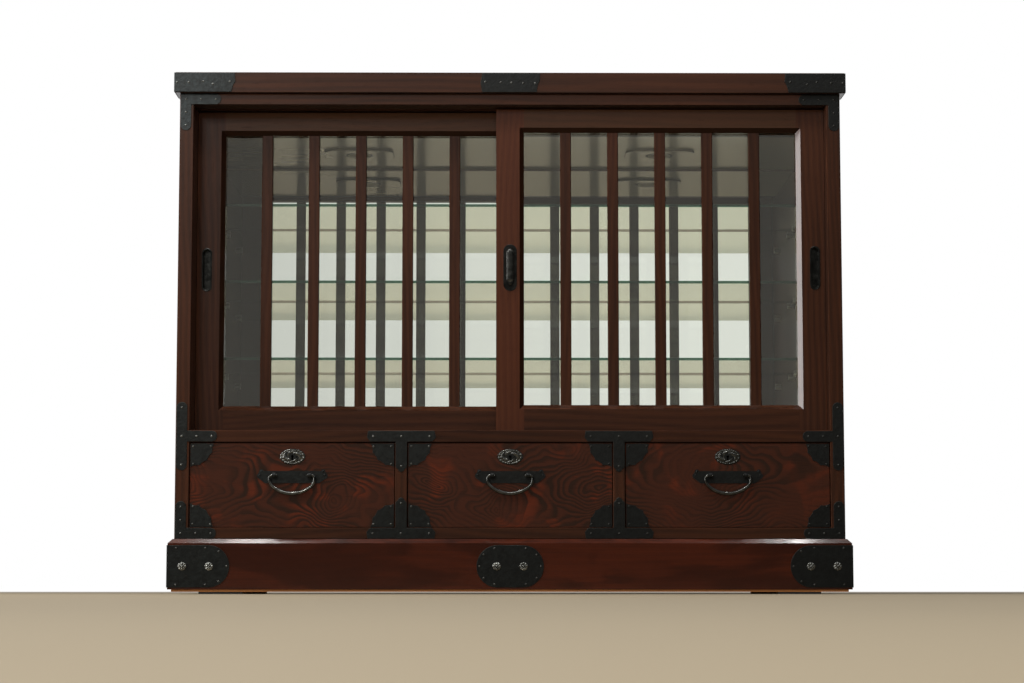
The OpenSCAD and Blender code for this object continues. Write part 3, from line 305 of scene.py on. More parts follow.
def lacquered_wood(name, along, dark, red, gloss=0.34, band=0.35, edge_gloss=0.0, glow=0.0, smoky=0.0,
                   high=0.0):
    """Red-brown lacquer over open-grained wood, a little worn and lighter on the small chamfers.
    Slanting faces have a coat of their own. Painted shade darkens undersides and slanting faces
    that look to the right. Boards near the middle may be redder, partly their own tone and partly
    painted light. A smoky board has dark flames, and a high one has a painted sheen that makes it
    lighter and paler towards the top of the doors."""
    f = Finish(name)
    bands, streaks, pores = grain(f, along)
    a, b, c = along_grain(f, along)
    cloud = f.noise(a * 2.2, b * 9, c * 9, detail=3)
    mask = streaks * (0.9 - band) + bands * band * 0.6 + cloud * 0.75 - 0.25
    colour = f.blend(mask.step(0.05, 0.95), dark, red)
    # Painted sheen: lighter and paler towards the top of the doors, standing in for reflected light
    if high:
        top = f.place()[2].step(0.5, 0.85)
        colour = f.blend(top * high, colour, scaled(red, 1.5, 2.2, 2.3))
    if smoky:
        flames = f.noise(a * 4 + 2, b * 16, c * 16, detail=3, warp=1.2).step(0.44, 0.62)
        colour = f.blend(flames * smoky, colour, scaled(dark, 0.8))
    # Redder near the middle: partly the wood's own tone, partly painted light that falls on the middle stile
    if glow:
        middle = f.place()[0].size().step(0.09, 0.03)
        colour = f.blend(middle * glow, colour, scaled(red, 2.0, 1.5, 1.3))
    colour = f.blend(pores * 0.45, colour, scaled(dark, 0.35))
    edge = f.chamfer()
    worn = edge * f.noise(a * 25, b * 90, c * 90, detail=2).step(0.35, 0.7)
    colour = f.blend(worn * 0.3, colour, scaled(red, 2.2))
    right, _, up = f.normal()
    # Painted shade: undersides and chamfers facing right are darkened towards the dark colour
    painted_shade = (up.step(-0.4, -0.7) + edge * right.step(0.4, 0.65)) * 0.8
    colour = f.blend(painted_shade.at_most(0.85), colour, scaled(dark, 0.3))
    rough = gloss + streaks * 0.10 + pores * 0.18 + edge * (0.3 - 0.45 * edge_gloss)
    relief = f.bump(streaks * 0.35 + (1 - pores) * 0.65, 0.00008, 0.5)
    lit_edge = edge * up.step(-0.6, -0.2) * right.step(0.5, 0.2)
    coat = (0.55 - pores * 0.3) * (1 - edge) + lit_edge * edge_gloss
    return f.done(f.surface(Base_Color=colour, Roughness=rough, Specular_Level=0.06, Normal=relief,
                            Coat_Weight=coat, Coat_Roughness=0.10))


def figured_wood(name, colours, middles):
    """Burl-figured wood. Its rings lie round one or more middles: the size of a ring is the
    distance to the nearest middle, pushed about by slow noise. Distances along the board count
    less and less, so far from a middle the rings open into level lines. Each ring darkens slowly
    and ends sharply, and zones near the middles glow orange-red."""
    ring_width, fine_width, round_reach = 0.0072, 0.0026, 0.11
    f = Finish(name)
    x, y, z = f.place()
    push_x = (f.noise(x * 12 + 3, y, z * 12, detail=2) - 0.5) * 0.11
    push_z = (f.noise(x * 10 + 8, y, z * 12 + 5, detail=2) - 0.5) * 0.10
    reach = None
    for middle_x, middle_z in middles:
        away_x = x - middle_x + push_x
        away_z = z - middle_z + push_z
        bent = away_x / (away_x.size() / round_reach + 1)
        distance = (bent * bent + away_z * away_z) ** 0.5
        reach = distance if reach is None else reach.at_most(distance)
    saw = (reach / ring_width).fraction()
    late = saw.step(0.10, 0.75) * saw.step(1.0, 0.82)
    fine = (reach * (2 * math.pi / fine_width)).sine() * 0.5 + 0.5
    fibre = f.noise(x * 26, y * 200, z * 420, detail=3, rough=0.65)
    strength = f.noise(x * 8 + 3, y * 6, z * 10, detail=1).step(0.30, 0.66) * 0.66 + 0.26
    glow = f.noise(x * 15 + 9, y * 6, z * 17, detail=2, warp=0.8).step(0.50, 0.64)
    glow = glow * (reach.step(0.11, 0.03) * 0.75 + 0.25)
    ground = f.blend(glow, colours.figure_brown[:], colours.figure_red[:])
    lines = late * strength + fine * 0.10 + fibre * 0.34 - 0.12
    colour = f.blend(lines.step(0.0, 1.0), ground, colours.figure_dark[:])
    pores = f.noise(x * 60, y * 900, z * 1300, detail=1).step(0.6, 0.7)
    colour = f.blend(pores * 0.3, colour, scaled(colours.figure_dark, 0.3))
    edge = f.chamfer()
    relief = f.bump((1 - late) * 0.4 + (1 - pores) * 0.6, 0.00006, 0.5)
    return f.done(f.surface(Base_Color=colour, Roughness=0.34 + fibre * 0.12, Specular_Level=0.06,
                            Normal=relief, Coat_Roughness=0.09,
                            Coat_Weight=(0.55 - pores * 0.3) * (1 - edge * 0.2)))


def plain_wood(name, along, colour, darker=0.72, gloss=0.55):
    """Bare or thinly sealed wood with soft bands"""
    f = Finish(name)
    bands, streaks, pores = grain(f, along, arch=0.035, ring=0.016)
    mask = bands * 0.45 + streaks * 0.6 - 0.05
    shade = f.blend(mask.step(0, 1), colour, scaled(colour, darker, darker * 0.9, darker * 0.8))
    shade = f.blend(pores * 0.25, shade, scaled(colour, 0.4))
    return f.done(f.surface(Base_Color=shade, Roughness=gloss + streaks * 0.12, Specular_Level=0.3,
                            Normal=f.bump(streaks, 0.00012, 0.5)))


def hammered_iron(name, colour, bright=1.0, rough=0.37, metal=0.35, gloss=0.38, dents=0.4, fade=0.5,
                  dim=0.0):
    """Blackened iron: shallow hammer marks whose depth is given in millimetres, a cloudy skin and a
    few rusty freckles. Painted shade darkens it to the right and low down, and a painted bluish
    sheen lightens its top left. It is rougher to the right and more metallic low down. Two
    strengths say how much painted shade falls to the right and below."""
    f = Finish(name)
    x, y, z = f.place()
    marks = f.add("ShaderNodeTexVoronoi", {"feature": "SMOOTH_F1"}, {
        "Vector": f.point(x * 230, y * 230, z * 230), "Scale": 1.0, "Smoothness": 0.6})
    skin = f.noise(x * 120, y * 120, z * 120, detail=4, rough=0.6)
    freckle = f.noise(x * 420, y * 420, z * 420, detail=1).step(0.66, 0.74)
    shade = f.blend(skin.step(0.3, 0.75), scaled(colour, 0.7 * bright), scaled(colour, 2.0 * bright))
    shade = f.blend(freckle * 0.25, shade, (0.040, 0.028, 0.018))
    # Painted shade: darker to the right and low down, towards this black
    black = scaled(colour, 0.3 * bright)
    rightward = x.step(-0.45, 0.45)
    low = z.step(0.45, 0.05)
    shade = f.blend(low * dim, shade, black)
    shade = f.blend((rightward * fade).at_most(1.0), shade, black)
    # Painted bluish sheen at the top left, standing in for light that the plate reflects there
    painted_sheen = (skin.step(0.35, 0.70) * 0.7 + 0.3) * x.step(-0.42, -0.58) * z.step(0.5, 0.8)
    shade = f.blend(painted_sheen * 0.5, shade, (0.040, 0.052, 0.056))
    relief = f.bump(marks * 0.7 + skin * 0.3, dents * MM, 0.7)
    return f.done(f.surface(Base_Color=shade, Roughness=rough + skin * 0.16 + rightward * fade * 0.12,
                            Metallic=metal + low * ((1 - metal) * 0.3), Specular_Level=gloss,
                            Normal=relief))


def polished_iron(name, colours, **looks):
    """Iron that hands or tools have rubbed bright"""
    return hammered_iron(name, colours.polished_iron[:], metal=0.9, **looks)


def clear_glass(name, edge_colour=None, edge_axis=None, tint=(0.975, 0.985, 0.972)):
    """A thin pane: light goes straight through or is reflected by the share of both its faces,
    which is given to the face that the light meets first.
    A shelf's polished edge shows the green of the glass along its length."""
    f = Finish(name)
    fresnel = f.add("ShaderNodeFresnel", sockets={"IOR": 1.46})
    smear = f.noise(*[v * 9 for v in f.place()], detail=2)
    through = f.add("ShaderNodeBsdfTransparent", sockets={"Color": (*tint, 1.0)})
    shine = f.surface(Base_Color=(1, 0.98, 0.92), Metallic=1.0, Roughness=0.0)
    front = 1 - f.add("ShaderNodeNewGeometry", out="Backfacing")
    share = fresnel * 1.5 / (fresnel + 1) * front + smear * 0.004
    pane = f.add("ShaderNodeMixShader", sockets={0: share, 1: through, 2: shine})
    if edge_colour is None:
        return f.done(pane)
    flat = f.facing()[edge_axis]
    inside = f.add("ShaderNodeBsdfTransparent", sockets={"Color": (*edge_colour, 1.0)})
    skin = f.surface(Base_Color=scaled(edge_colour, 0.6), Roughness=0.08, Specular_Level=0.5)
    rim = f.add("ShaderNodeMixShader", sockets={0: 0.25, 1: inside, 2: skin})
    return f.done(f.add("ShaderNodeMixShader", sockets={0: flat.step(0.8, 0.2) * front, 1: pane, 2: rim}))


def silvered_glass(name):
    """Old mirror with soft clouds, and painted shade that darkens it a little to the left"""
    f = Finish(name)
    x, y, z = f.place()
    haze = f.noise(x * 3, y * 3, z * 3, detail=2) * 0.3
    # Painted shade: darker to the left, standing in for the dimmer room that it reflects there
    shade = f.blend(x.step(-0.8, 0.7) + haze - 0.15, (0.735, 0.748, 0.755), (0.975, 0.995, 1.0))
    return f.done(f.surface(Base_Color=shade, Metallic=1.0, Roughness=0.0))


def painted(name, colour):
    """Satin paint with slight clouds and streaks, paler to the right with painted light and darker on
    upright faces with painted shade
    """
    f = Finish(name)
    x, y, z = f.place()
    cloud = f.noise(x * 7, y * 7, z * 7, detail=3)
    streak = f.noise(x * 3, y * 42, z * 9, detail=2)
    shade = f.blend(cloud.step(0.25, 0.75) * 0.5 + streak.step(0.3, 0.7) * 0.5,
                    scaled(colour, 0.84), scaled(colour, 1.06, 1.04, 1.0))
    # Painted light: paler towards the right
    shade = f.blend(x.step(-0.6, 0.6), shade, scaled(colour, 1.72, 1.75, 1.85))
    # Painted shade on upright faces such as the lamps' walls
    shade = f.blend(f.facing()[2].step(0.6, 0.2) * 0.6, shade, scaled(colour, 0.2))
    return f.done(f.surface(Base_Color=shade, Roughness=0.14 + cloud * 0.05, Specular_Level=0.75))


def lamp_glass(name):
    """Frosted lens with faint rings, moulded round each lamp's own middle, and a dark rim"""
    f = Finish(name)
    x, y, z = f.place()
    off_x = x.size() - LAMP_X
    off_y = y - LAMP_Y
    radius = (off_x * off_x + off_y * off_y) ** 0.5
    rings = (radius * (2 * math.pi / 0.003)).sine() * 0.5 + 0.5
    shade = f.blend(rings * 0.3, (0.34, 0.33, 0.26), (0.26, 0.25, 0.20))
    shade = f.blend(radius.step(21.2 * MM, 22.4 * MM), shade, (0.02, 0.02, 0.016))
    return f.done(f.surface(Base_Color=shade, Roughness=0.45, Specular_Level=0.15,
                            Normal=f.bump(rings, 0.0002, 0.5)))


def plain_steel(name):
    """Steel brushed along X, with faint scratches"""
    f = Finish(name)
    x, y, z = f.place()
    brush = f.noise(x * 30, y * 2500, z * 2500, detail=2)
    shade = f.blend(brush, (0.45, 0.45, 0.44), (0.62, 0.62, 0.60))
    return f.done(f.surface(Base_Color=shade, Metallic=1.0, Roughness=0.28 + brush * 0.15,
                            Normal=f.bump(brush, 0.00002, 0.4)))


def rubbery(name, colour):
    """Dull pad material with a pebbled skin"""
    f = Finish(name)
    x, y, z = f.place()
    pebbles = f.noise(x * 900, y * 900, z * 900, detail=2)
    shade = f.blend(pebbles, scaled(colour, 0.7), scaled(colour, 1.3))
    return f.done(f.surface(Base_Color=shade, Roughness=0.75, Normal=f.bump(pebbles, 0.0001, 0.5)))


# Pieces from numpy surfaces

def centre(node):
    lo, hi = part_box(node)
    return [(a + b) / 2 for a, b in zip(lo, hi)]


LENS_RADIUS = 25.5 * MM
PLATE_THICKNESS = 1.5 * MM
LAMP_X = centre("shelf_top")[0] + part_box("lamp_lenses")[1][0] - LENS_RADIUS
LAMP_Y = centre("lamp_lenses")[1]
DRAWER_FACE = {s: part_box(f"{s}_drawer_front")[0][1] - PLATE_THICKNESS for s in SIDES}


def mesh_piece(name, points, faces, material, smooth=True):
    """Object from an array of points and a list of faces, doubles merged and normals outwards"""
    mesh = bpy.data.meshes.new(name)
    mesh.from_pydata(np.asarray(points).reshape(-1, 3).tolist(), [], faces)
    work = bmesh.new()
    work.from_mesh(mesh)
    bmesh.ops.remove_doubles(work, verts=work.verts, dist=1e-6)
    bmesh.ops.dissolve_degenerate(work, dist=1e-7, edges=work.edges)
    bmesh.ops.recalc_face_normals(work, faces=work.faces)
    work.to_mesh(mesh)
    work.free()
    if smooth:
        mesh.shade_smooth()
    mesh.materials.append(material)
    piece = bpy.data.objects.new(name, mesh)
    bpy.context.scene.collection.objects.link(piece)
    return piece


def copies(points, faces, places):
    """Points and faces of one form set at each of many places, all in one go"""
    places = np.asarray(places)
    every = (places[:, None, :] + points.reshape(1, -1, 3)).reshape(-1, 3)
    step = len(points.reshape(-1, 3))
    index = np.arange(len(places))[:, None, None] * step + np.asarray(faces)[None]
    return every, index.reshape(-1, index.shape[-1]).tolist()


def end_caps(rows, columns):
    """The two faces that close a tube's first and last rows"""
    last = (rows - 1) * columns
    return [list(range(columns)), list(range(last, last + columns))]


def grid_faces(rows, columns, closed_rows=False):
    """Quads of a grid whose columns join up all round, and whose rows may too"""
    r = np.arange(rows if closed_rows else rows - 1)[:, None]
    c = np.arange(columns)[None, :]
    here, there = r * columns, (r + 1) % rows * columns
    nxt = (c + 1) % columns
    return np.stack([here + c, here + nxt, there + nxt, there + c], -1).reshape(-1, 4).tolist()


def round_bar(path, radii, sides=16):
    """Points of a round bar: a circle is carried along a path that lies in the X-Z plane.
    At each point of the path the circle is turned square to the path's own direction."""
    ahead = np.gradient(path, axis=0)
    ahead /= np.linalg.norm(ahead, axis=1, keepdims=True)
    across = np.stack([ahead[:, 1], -ahead[:, 0]], -1)
    turn = np.linspace(0, 2 * np.pi, sides, endpoint=False)
    flat = path[:, None, :] + radii[:, None, None] * np.cos(turn)[None, :, None] * across[:, None, :]
    deep = radii[:, None] * np.sin(turn)[None, :]
    return np.stack([flat[..., 0], deep, flat[..., 1]], -1)


def arc(middle, radius, first, last, count):
    """Points of an arc in the X-Z plane, its angles in degrees"""
    t = np.radians(np.linspace(first, last, count))
    return np.stack([middle[0] + radius * np.cos(t), middle[1] + radius * np.sin(t)], -1)


def bail_path():
    """Middle line and radius of a bail about its hinge axis, in millimetres.
    Half is a headed pin, a right-angle bend, a straight, a side bend and half of a long bend;
    the other half mirrors it. The radius swells from the bends to the lowest point as a cosine."""
    head, pin_in, pin_out, bend = 26.5, 28.1, 34.7, 5.0
    side_r, low_r, fall = 17.0, 52.0, 32.0
    side_x = pin_out + bend - side_r
    turn = math.degrees(math.asin(side_x / (low_r - side_r)))
    low_z = low_r - fall
    side_z = low_z - (low_r - side_r) * math.cos(math.radians(turn))
    pin = np.array([[x, 0.0] for x in (head, head + 0.01, head + 0.3, pin_in - 0.3, pin_in,
                                       pin_in + 0.02, pin_out - 0.1, pin_out)])
    pin_r = np.array([0.01, 2.3, 2.75, 2.75, 2.3, 1.95, 1.95, 2.4])
    half = np.concatenate([
        arc((pin_out, -bend), bend, 86, 0, 9),
        arc((side_x, side_z), side_r, 0, turn - 90, 12),
        arc((0, low_z), low_r, turn - 91.5, -90, 14)])
    return pin, pin_r, half


def settle(piece, body, slot, *nodes):
    """Says what a piece rides on and which nodes it stands for. Its slot is not used."""
    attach(piece, body)
    if nodes:
        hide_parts(*nodes)


def softened_copy(node, body, slot, width, material, edge_material):
    """Copy of a CAD node with its loose triangles merged and its sharp edges rounded"""
    mesh = NODES[node].data.copy()
    mesh.name = node + "_worn"
    work = bmesh.new()
    work.from_mesh(mesh)
    bmesh.ops.remove_doubles(work, verts=work.verts, dist=2e-6)
    bmesh.ops.dissolve_limit(work, angle_limit=math.radians(1.0), verts=work.verts, edges=work.edges)
    work.to_mesh(mesh)
    work.free()
    mesh.materials.clear()
    mesh.materials.append(material)
    mesh.materials.append(edge_material)
    piece = bpy.data.objects.new(node + "_worn", mesh)
    bpy.context.scene.collection.objects.link(piece)
    bevel = piece.modifiers.new("rounded edges", "BEVEL")
    bevel.width = width
    bevel.segments = 2
    bevel.limit_method = "ANGLE"
    bevel.angle_limit = math.radians(40)
    bevel.use_clamp_overlap = True
    bevel.material = 1
    settle(piece, body, slot, node)
    return piece


def dome(radius, height, rings=3, around=10):
    """Points and faces of a small dome on the X-Z plane that swells towards -Y.
    Its height falls as the cosine of the way from its middle to its rim."""
    s = np.linspace(0, 1, rings + 1)[:, None]
    t = np.linspace(0, 2 * np.pi, around, endpoint=False)[None, :]
    x = radius * np.sin(s * np.pi / 2) * np.cos(t)
    z = radius * np.sin(s * np.pi / 2) * np.sin(t)
    y = -height * np.cos(s * np.pi / 2) + 0 * t
    top = np.stack([x, y, z], -1)
    foot = top[-1:] * [1, 0, 1] + [0, 0.2 * MM, 0]
    points = np.concatenate([top, foot, foot * [0, 1, 0]])
    return points.reshape(-1, 3), grid_faces(rings + 3, around)


def studs(name, places, body, radius, material):
    """One mesh of equal domes"""
    every, faces = copies(*dome(radius, height=radius * 0.6), places)
    settle(mesh_piece(name, every, faces, material), body, "iron")


def paint(material, *nodes):
    """Gives CAD nodes a finish through their own material slots"""
    for node in nodes:
        slots = NODES[node].data.materials
        slots.clear()
        slots.append(material)


class CabinetPart:
    """What every operator of the cabinet shares"""
    bl_options = {"REGISTER", "UNDO"}

    def execute(self, context):
        self.make(context.scene.cabinet_sizes, context.scene.cabinet_colours)
        return {"FINISHED"}


class CABINET_OT_boards(CabinetPart, bpy.types.Operator):
    """Finish the lacquered boards of the case and the doors"""
    bl_idname = "cabinet.boards"
    bl_label = "Lacquered boards"

    def make(self, sizes, colours):
        lacquer = [colours.wood_dark[:], colours.wood_red[:]]
        across = lacquered_wood("lacquer_across", "X", *lacquer)
        upright = lacquered_wood("lacquer_upright", "Z", *lacquer)
        # Door rails get the painted sheen towards the top of the doors
        rails = lacquered_wood("door_lacquer_across", "X", *lacquer, edge_gloss=1.0, high=0.35)
        # Stiles are redder near the middle, partly the wood's tone and partly painted light
        stiles = lacquered_wood("door_lacquer_upright", "Z", *[scaled(c, 1.1) for c in lacquer],
                                edge_gloss=0.7, glow=0.22)
        # Sill and bottom rails take a darker copy of the lacquer: painted shade
        low = lacquered_wood("shaded_low_lacquer_across", "X", *[scaled(c, 0.84) for c in lacquer])
        paint(across, "top_board", "head_rail", "ceiling_fascia")
        paint(low, "sill_rail", "bottom_rail")
        paint(upright, "side_left", "side_right", "drawer_dividers", "left_door_bars", "right_door_bars")
        paint(rails, "left_door_rails", "right_door_rails")
        paint(stiles, "left_door_stiles", "right_door_stiles")


class CABINET_OT_plinth(CabinetPart, bpy.types.Operator):
    """Finish the plinth, its raw strips and its pads"""
    bl_idname = "cabinet.plinth"
    bl_label = "Plinth"

    def make(self, sizes, colours):
        lacquer = {"dark": colours.plinth_dark[:], "red": colours.plinth_red[:], "gloss": 0.30,
                   "band": 0.2, "edge_gloss": 0.8}
        front = lacquered_wood("plinth_lacquer", "X", smoky=0.75, **lacquer)
        sides = lacquered_wood("plinth_side_lacquer", "Y", **lacquer)
        paint(front, "plinth_front")
        paint(sides, "plinth_frame")
        paint(plain_wood("raw_strip", "X", colours.raw_wood[:]), "plinth_battens")
        paint(rubbery("pad", (0.03, 0.03, 0.03)), "foot_pads")


class CABINET_OT_drawers(CabinetPart, bpy.types.Operator):
    """Finish the figured drawer fronts and the pale drawer boxes"""
    bl_idname = "cabinet.drawers"
    bl_label = "Drawers"

    def make(self, sizes, colours):
        for side, middles in FIGURE_MIDDLES.items():
            paint(figured_wood(f"figured_lacquer_{side}", colours, middles), f"{side}_drawer_front")
        paint(plain_wood("drawer_wood", "Y", colours.pale_wood[:]), *[f"{s}_drawer_box" for s in SIDES])
        paint(plain_steel("bolt_steel"), *[f"{s}_drawer_bolt" for s in SIDES], "shelf_pins")


class CABINET_OT_inside(CabinetPart, bpy.types.Operator):
    """Finish the inside boards, the ceiling and its lamps"""
    bl_idname = "cabinet.inside"
    bl_label = "Inside and lamps"

    def make(self, sizes, colours):
        paint(plain_wood("inside_wood", "X", colours.pale_wood[:]), "case_floor", "bottom_board")
        # The dark panel colour paints the shade of the strip above the mirror
        paint(plain_wood("shaded_back_wood", "Z", colours.shaded_back_wood[:]), "back_panel")
        paint_skin = painted("ceiling_paint", colours.ceiling[:])
        paint(paint_skin, "ceiling_panel")
        softened_copy("lamp_housings", "cabinet", "lamp_metal", 1.6 * MM, paint_skin, paint_skin)
        paint(lamp_glass("lamp_lens"), "lamp_lenses")
        paint(rubbery("gland_black", (0.02, 0.02, 0.02)), "cable_gland")


class CABINET_OT_glass(CabinetPart, bpy.types.Operator):
    """Finish the door glass, the glass shelves and the mirror"""
    bl_idname = "cabinet.glass"
    bl_label = "Glass and mirror"

    def make(self, sizes, colours):
        paint(clear_glass("door_glass"), "left_door_glass", "right_door_glass")
        shelf_glass = clear_glass("shelf_glass", colours.glass_edge[:], edge_axis=2,
                                  tint=(0.915, 0.928, 0.855))
        paint(shelf_glass, "shelf_top", "shelf_middle", "shelf_bottom")
        paint(silvered_glass("mirror_silver"), "back_mirror")


class CABINET_OT_irons(CabinetPart, bpy.types.Operator):
    """Round the edges of the iron plates and give them their blackened skin"""
    bl_idname = "cabinet.irons"
    bl_label = "Iron plates"

    def make(self, sizes, colours):
        skin = hammered_iron("black_iron", colours.iron[:])
        worn = hammered_iron("worn_iron_edge", colours.iron[:], bright=5.0, rough=0.26, metal=0.6)
        pulls = polished_iron("pull_iron", colours, bright=0.5, rough=0.12, dents=0.1, fade=0.2)
        for node, body in (("left_door_pull", "left_door"), ("right_door_pulls", "right_door")):
            softened_copy(node, body, "iron", sizes.plate_edge, pulls, pulls)
        plates = [("top_board_irons", "cabinet"), ("case_irons", "cabinet"), ("plinth_irons", "cabinet")]
        plates += [(f"{s}_drawer_{k}", f"{s}_drawer") for s in SIDES for k in ("irons", "backplate")]
        for node, body in plates:
            softened_copy(node, body, "iron", sizes.plate_edge, skin, worn)
        nails = polished_iron("nail_iron", colours, bright=2.4, rough=0.24, fade=1.4, dim=0.75)
        paint(nails, "iron_nails")
        paint(skin, *[f"{s}_drawer_lock" for s in SIDES])


class CABINET_OT_grip(CabinetPart, bpy.types.Operator):
    """Forge the round bar of the raised grip"""
    bl_idname = "cabinet.grip"
    bl_label = "Raised grip"

    def make(self, sizes, colours):
        iron = polished_iron("grip_iron", colours, rough=0.10, dents=0.15)
        lo, hi = [np.array(v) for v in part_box("right_door_pulls")]
        # A cubic superellipse is carried up the grip. It shrinks to a blunt point below and to a
        # rounder end above: a power of the way that is left to each end.
        rows, around = 48, 40
        s = np.sin(np.linspace(-np.pi / 2, np.pi / 2, rows))[:, None] * 0.9995
        t = np.linspace(0, 2 * np.pi, around, endpoint=False)[None, :]
        taper = np.minimum(np.minimum(1, ((1 + s) / 0.30) ** 0.6), np.minimum(1, ((1 - s) / 0.16) ** 0.5))
        half_wide, half_deep, half_tall = 6.6, 3.3, 33.0
        x = half_wide * taper * np.sign(np.cos(t)) * np.abs(np.cos(t)) ** (2 / 3)
        y = half_deep * taper ** 0.8 * np.sign(np.sin(t)) * np.abs(np.sin(t)) ** (2 / 3)
        z = half_tall * s + 0 * t
        bar = np.stack([x, y, z], -1) * MM
        from_left, from_front = 12 * MM, 2.5 * MM
        place = np.array([lo[0] + from_left, lo[1] + from_front, (lo[2] + hi[2]) / 2])
        faces = grid_faces(rows, around) + end_caps(rows, around)
        settle(mesh_piece("grip_bar", bar + place, faces, iron), "right_door", "iron")


class CABINET_OT_studs(CabinetPart, bpy.types.Operator):
    """Set the nails of the drawers' corner irons"""
    bl_idname = "cabinet.studs"
    bl_label = "Corner nails"

    def make(self, sizes, colours):
        iron = polished_iron("stud_iron", colours, bright=1.5, rough=0.22, fade=1.3, dim=0.3)
        for side in SIDES:
            lo, hi = [np.array(v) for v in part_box(f"{side}_drawer_irons")]
            near, far = 5 * MM, 36 * MM
            ring = np.array([(near, 0, near), (far, 0, near), (near, 0, far)])
            places = []
            for sx, x in ((1, lo[0]), (-1, hi[0])):
                for sz, z in ((1, lo[2]), (-1, hi[2])):
                    places.append(ring * [sx, 1, sz] + [x, DRAWER_FACE[side], z])
            studs(f"{side}_corner_studs", np.concatenate(places), f"{side}_drawer",
                  sizes.stud_radius, iron)


class CABINET_OT_rosettes(CabinetPart, bpy.types.Operator):
    """Set the six petalled rosettes on the plinth irons"""
    bl_idname = "cabinet.rosettes"
    bl_label = "Rosettes"

    def make(self, sizes, colours):
        iron = polished_iron("rosette_iron", colours, bright=2.4, rough=0.08, dents=0.1)
        lo, hi = [np.array(v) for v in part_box("plinth_rosettes")]
        radius, high, pitch = sizes.rosette_radius, hi[1] - lo[1], sizes.rosette_pitch
        places = [lo[0] + radius, lo[0] + radius + pitch, -pitch / 2, pitch / 2,
                  hi[0] - radius - pitch, hi[0] - radius]
        rings, around = 22, 96
        s = np.linspace(0, 1, rings)[:, None]
        t = np.linspace(0, 2 * np.pi, around, endpoint=False)[None, :]
        # Eight petals: the size of a cosine of four turns, swelling between middle and rim.
        # A half ball stands in the middle.
        petal = np.abs(np.cos(4 * t)) ** 0.7
        edge = radius * (0.9 + 0.1 * petal)
        ring = np.clip((s - 0.34) / 0.66, 0, 1)
        rise = 0.9 * MM + 1.6 * MM * petal * np.sin(np.pi * np.sqrt(ring)) ** 0.8
        ball = high * np.sqrt(np.clip(1 - (s / 0.36) ** 2, 0, 1))
        tall = np.maximum(rise * (s > 0.3), ball)
        tall = np.where(s >= 1, 0.7 * MM, tall)
        top = np.stack([s * edge * np.cos(t), -tall, s * edge * np.sin(t)], -1)
        foot = top[-1:] * [1, 0, 1]
        points = np.concatenate([top, foot, foot * 0])
        base = [[x, hi[1], (lo[2] + hi[2]) / 2] for x in places]
        every, faces = copies(points, grid_faces(rings + 2, around), base)
        piece = mesh_piece("petalled_rosettes", every, faces, iron)
        settle(piece, "cabinet", "iron", "plinth_rosettes")


class CABINET_OT_locks(CabinetPart, bpy.types.Operator):
    """Set an openwork-looking oval plate with a keyhole over each lock"""
    bl_idname = "cabinet.locks"
    bl_label = "Lock plates"

    def make(self, sizes, colours):
        iron = polished_iron("lock_iron", colours, bright=1.3, rough=0.06, dents=0.1)
        rows, around = 40, 216
        s = np.linspace(0, 1, rows)[:, None]
        t = np.linspace(-np.pi, np.pi, around, endpoint=False)[None, :] + 1e-4
        # Keyhole outline as a distance from its round hole's middle: the hole, or the slot below it
        slot = np.minimum(7.0 / np.maximum(-np.sin(t), 1e-3), 1.2 / np.abs(np.cos(t)))
        key = np.maximum(2.4, np.where(np.sin(t) < 0, slot, 0)) * MM
        # Oval outline with petals: an ellipse's polar radius, swollen by the size of a sine
        half_l, half_h, below_top = 21.0 * MM, 13.0 * MM, 24 * MM
        oval = half_l * half_h / np.sqrt((half_h * np.cos(t)) ** 2 + (half_l * np.sin(t)) ** 2)
        petal = np.abs(np.sin(sizes.petals / 2 * t))
        rim = oval * (1 + 0.06 * petal)
        reach = key + (rim - key) * s
        way = reach / rim
        # Height: a beaded rim, a scroll whose ridges turn as they go out, and a raised middle
        bead = 1.3 * petal ** 0.6 * np.exp(-((way - 0.90) / 0.075) ** 2)
        scroll = (0.5 + 0.5 * np.sin(4 * t + 11 * way)) ** 0.8 * np.exp(-((way - 0.60) / 0.17) ** 2)
        boss = np.exp(-((reach / MM) / 7.2) ** 4)
        step = 1 / (1 + np.exp((way - 0.77) / 0.018))
        tall = (1.35 + bead + step * 0.6 + 1.9 * scroll + 1.2 * boss) * MM
        flat = np.stack([reach * np.cos(t), -tall, reach * np.sin(t)], -1)
        outer = flat[-1:] * [1, 0, 1]
        inner = flat[:1] * [1, 0, 1]
        ring = np.concatenate([flat, outer, inner])
        faces = grid_faces(rows + 2, around, closed_rows=True)
        for side in SIDES:
            lo, hi = [np.array(v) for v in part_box(f"{side}_drawer_lock")]
            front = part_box(f"{side}_drawer_front")
            place = np.array([(lo[0] + hi[0]) / 2, front[0][1], front[1][2] - below_top])
            piece = mesh_piece(f"{side}_lock_plate", ring + place, faces, iron)
            settle(piece, f"{side}_drawer", "iron")


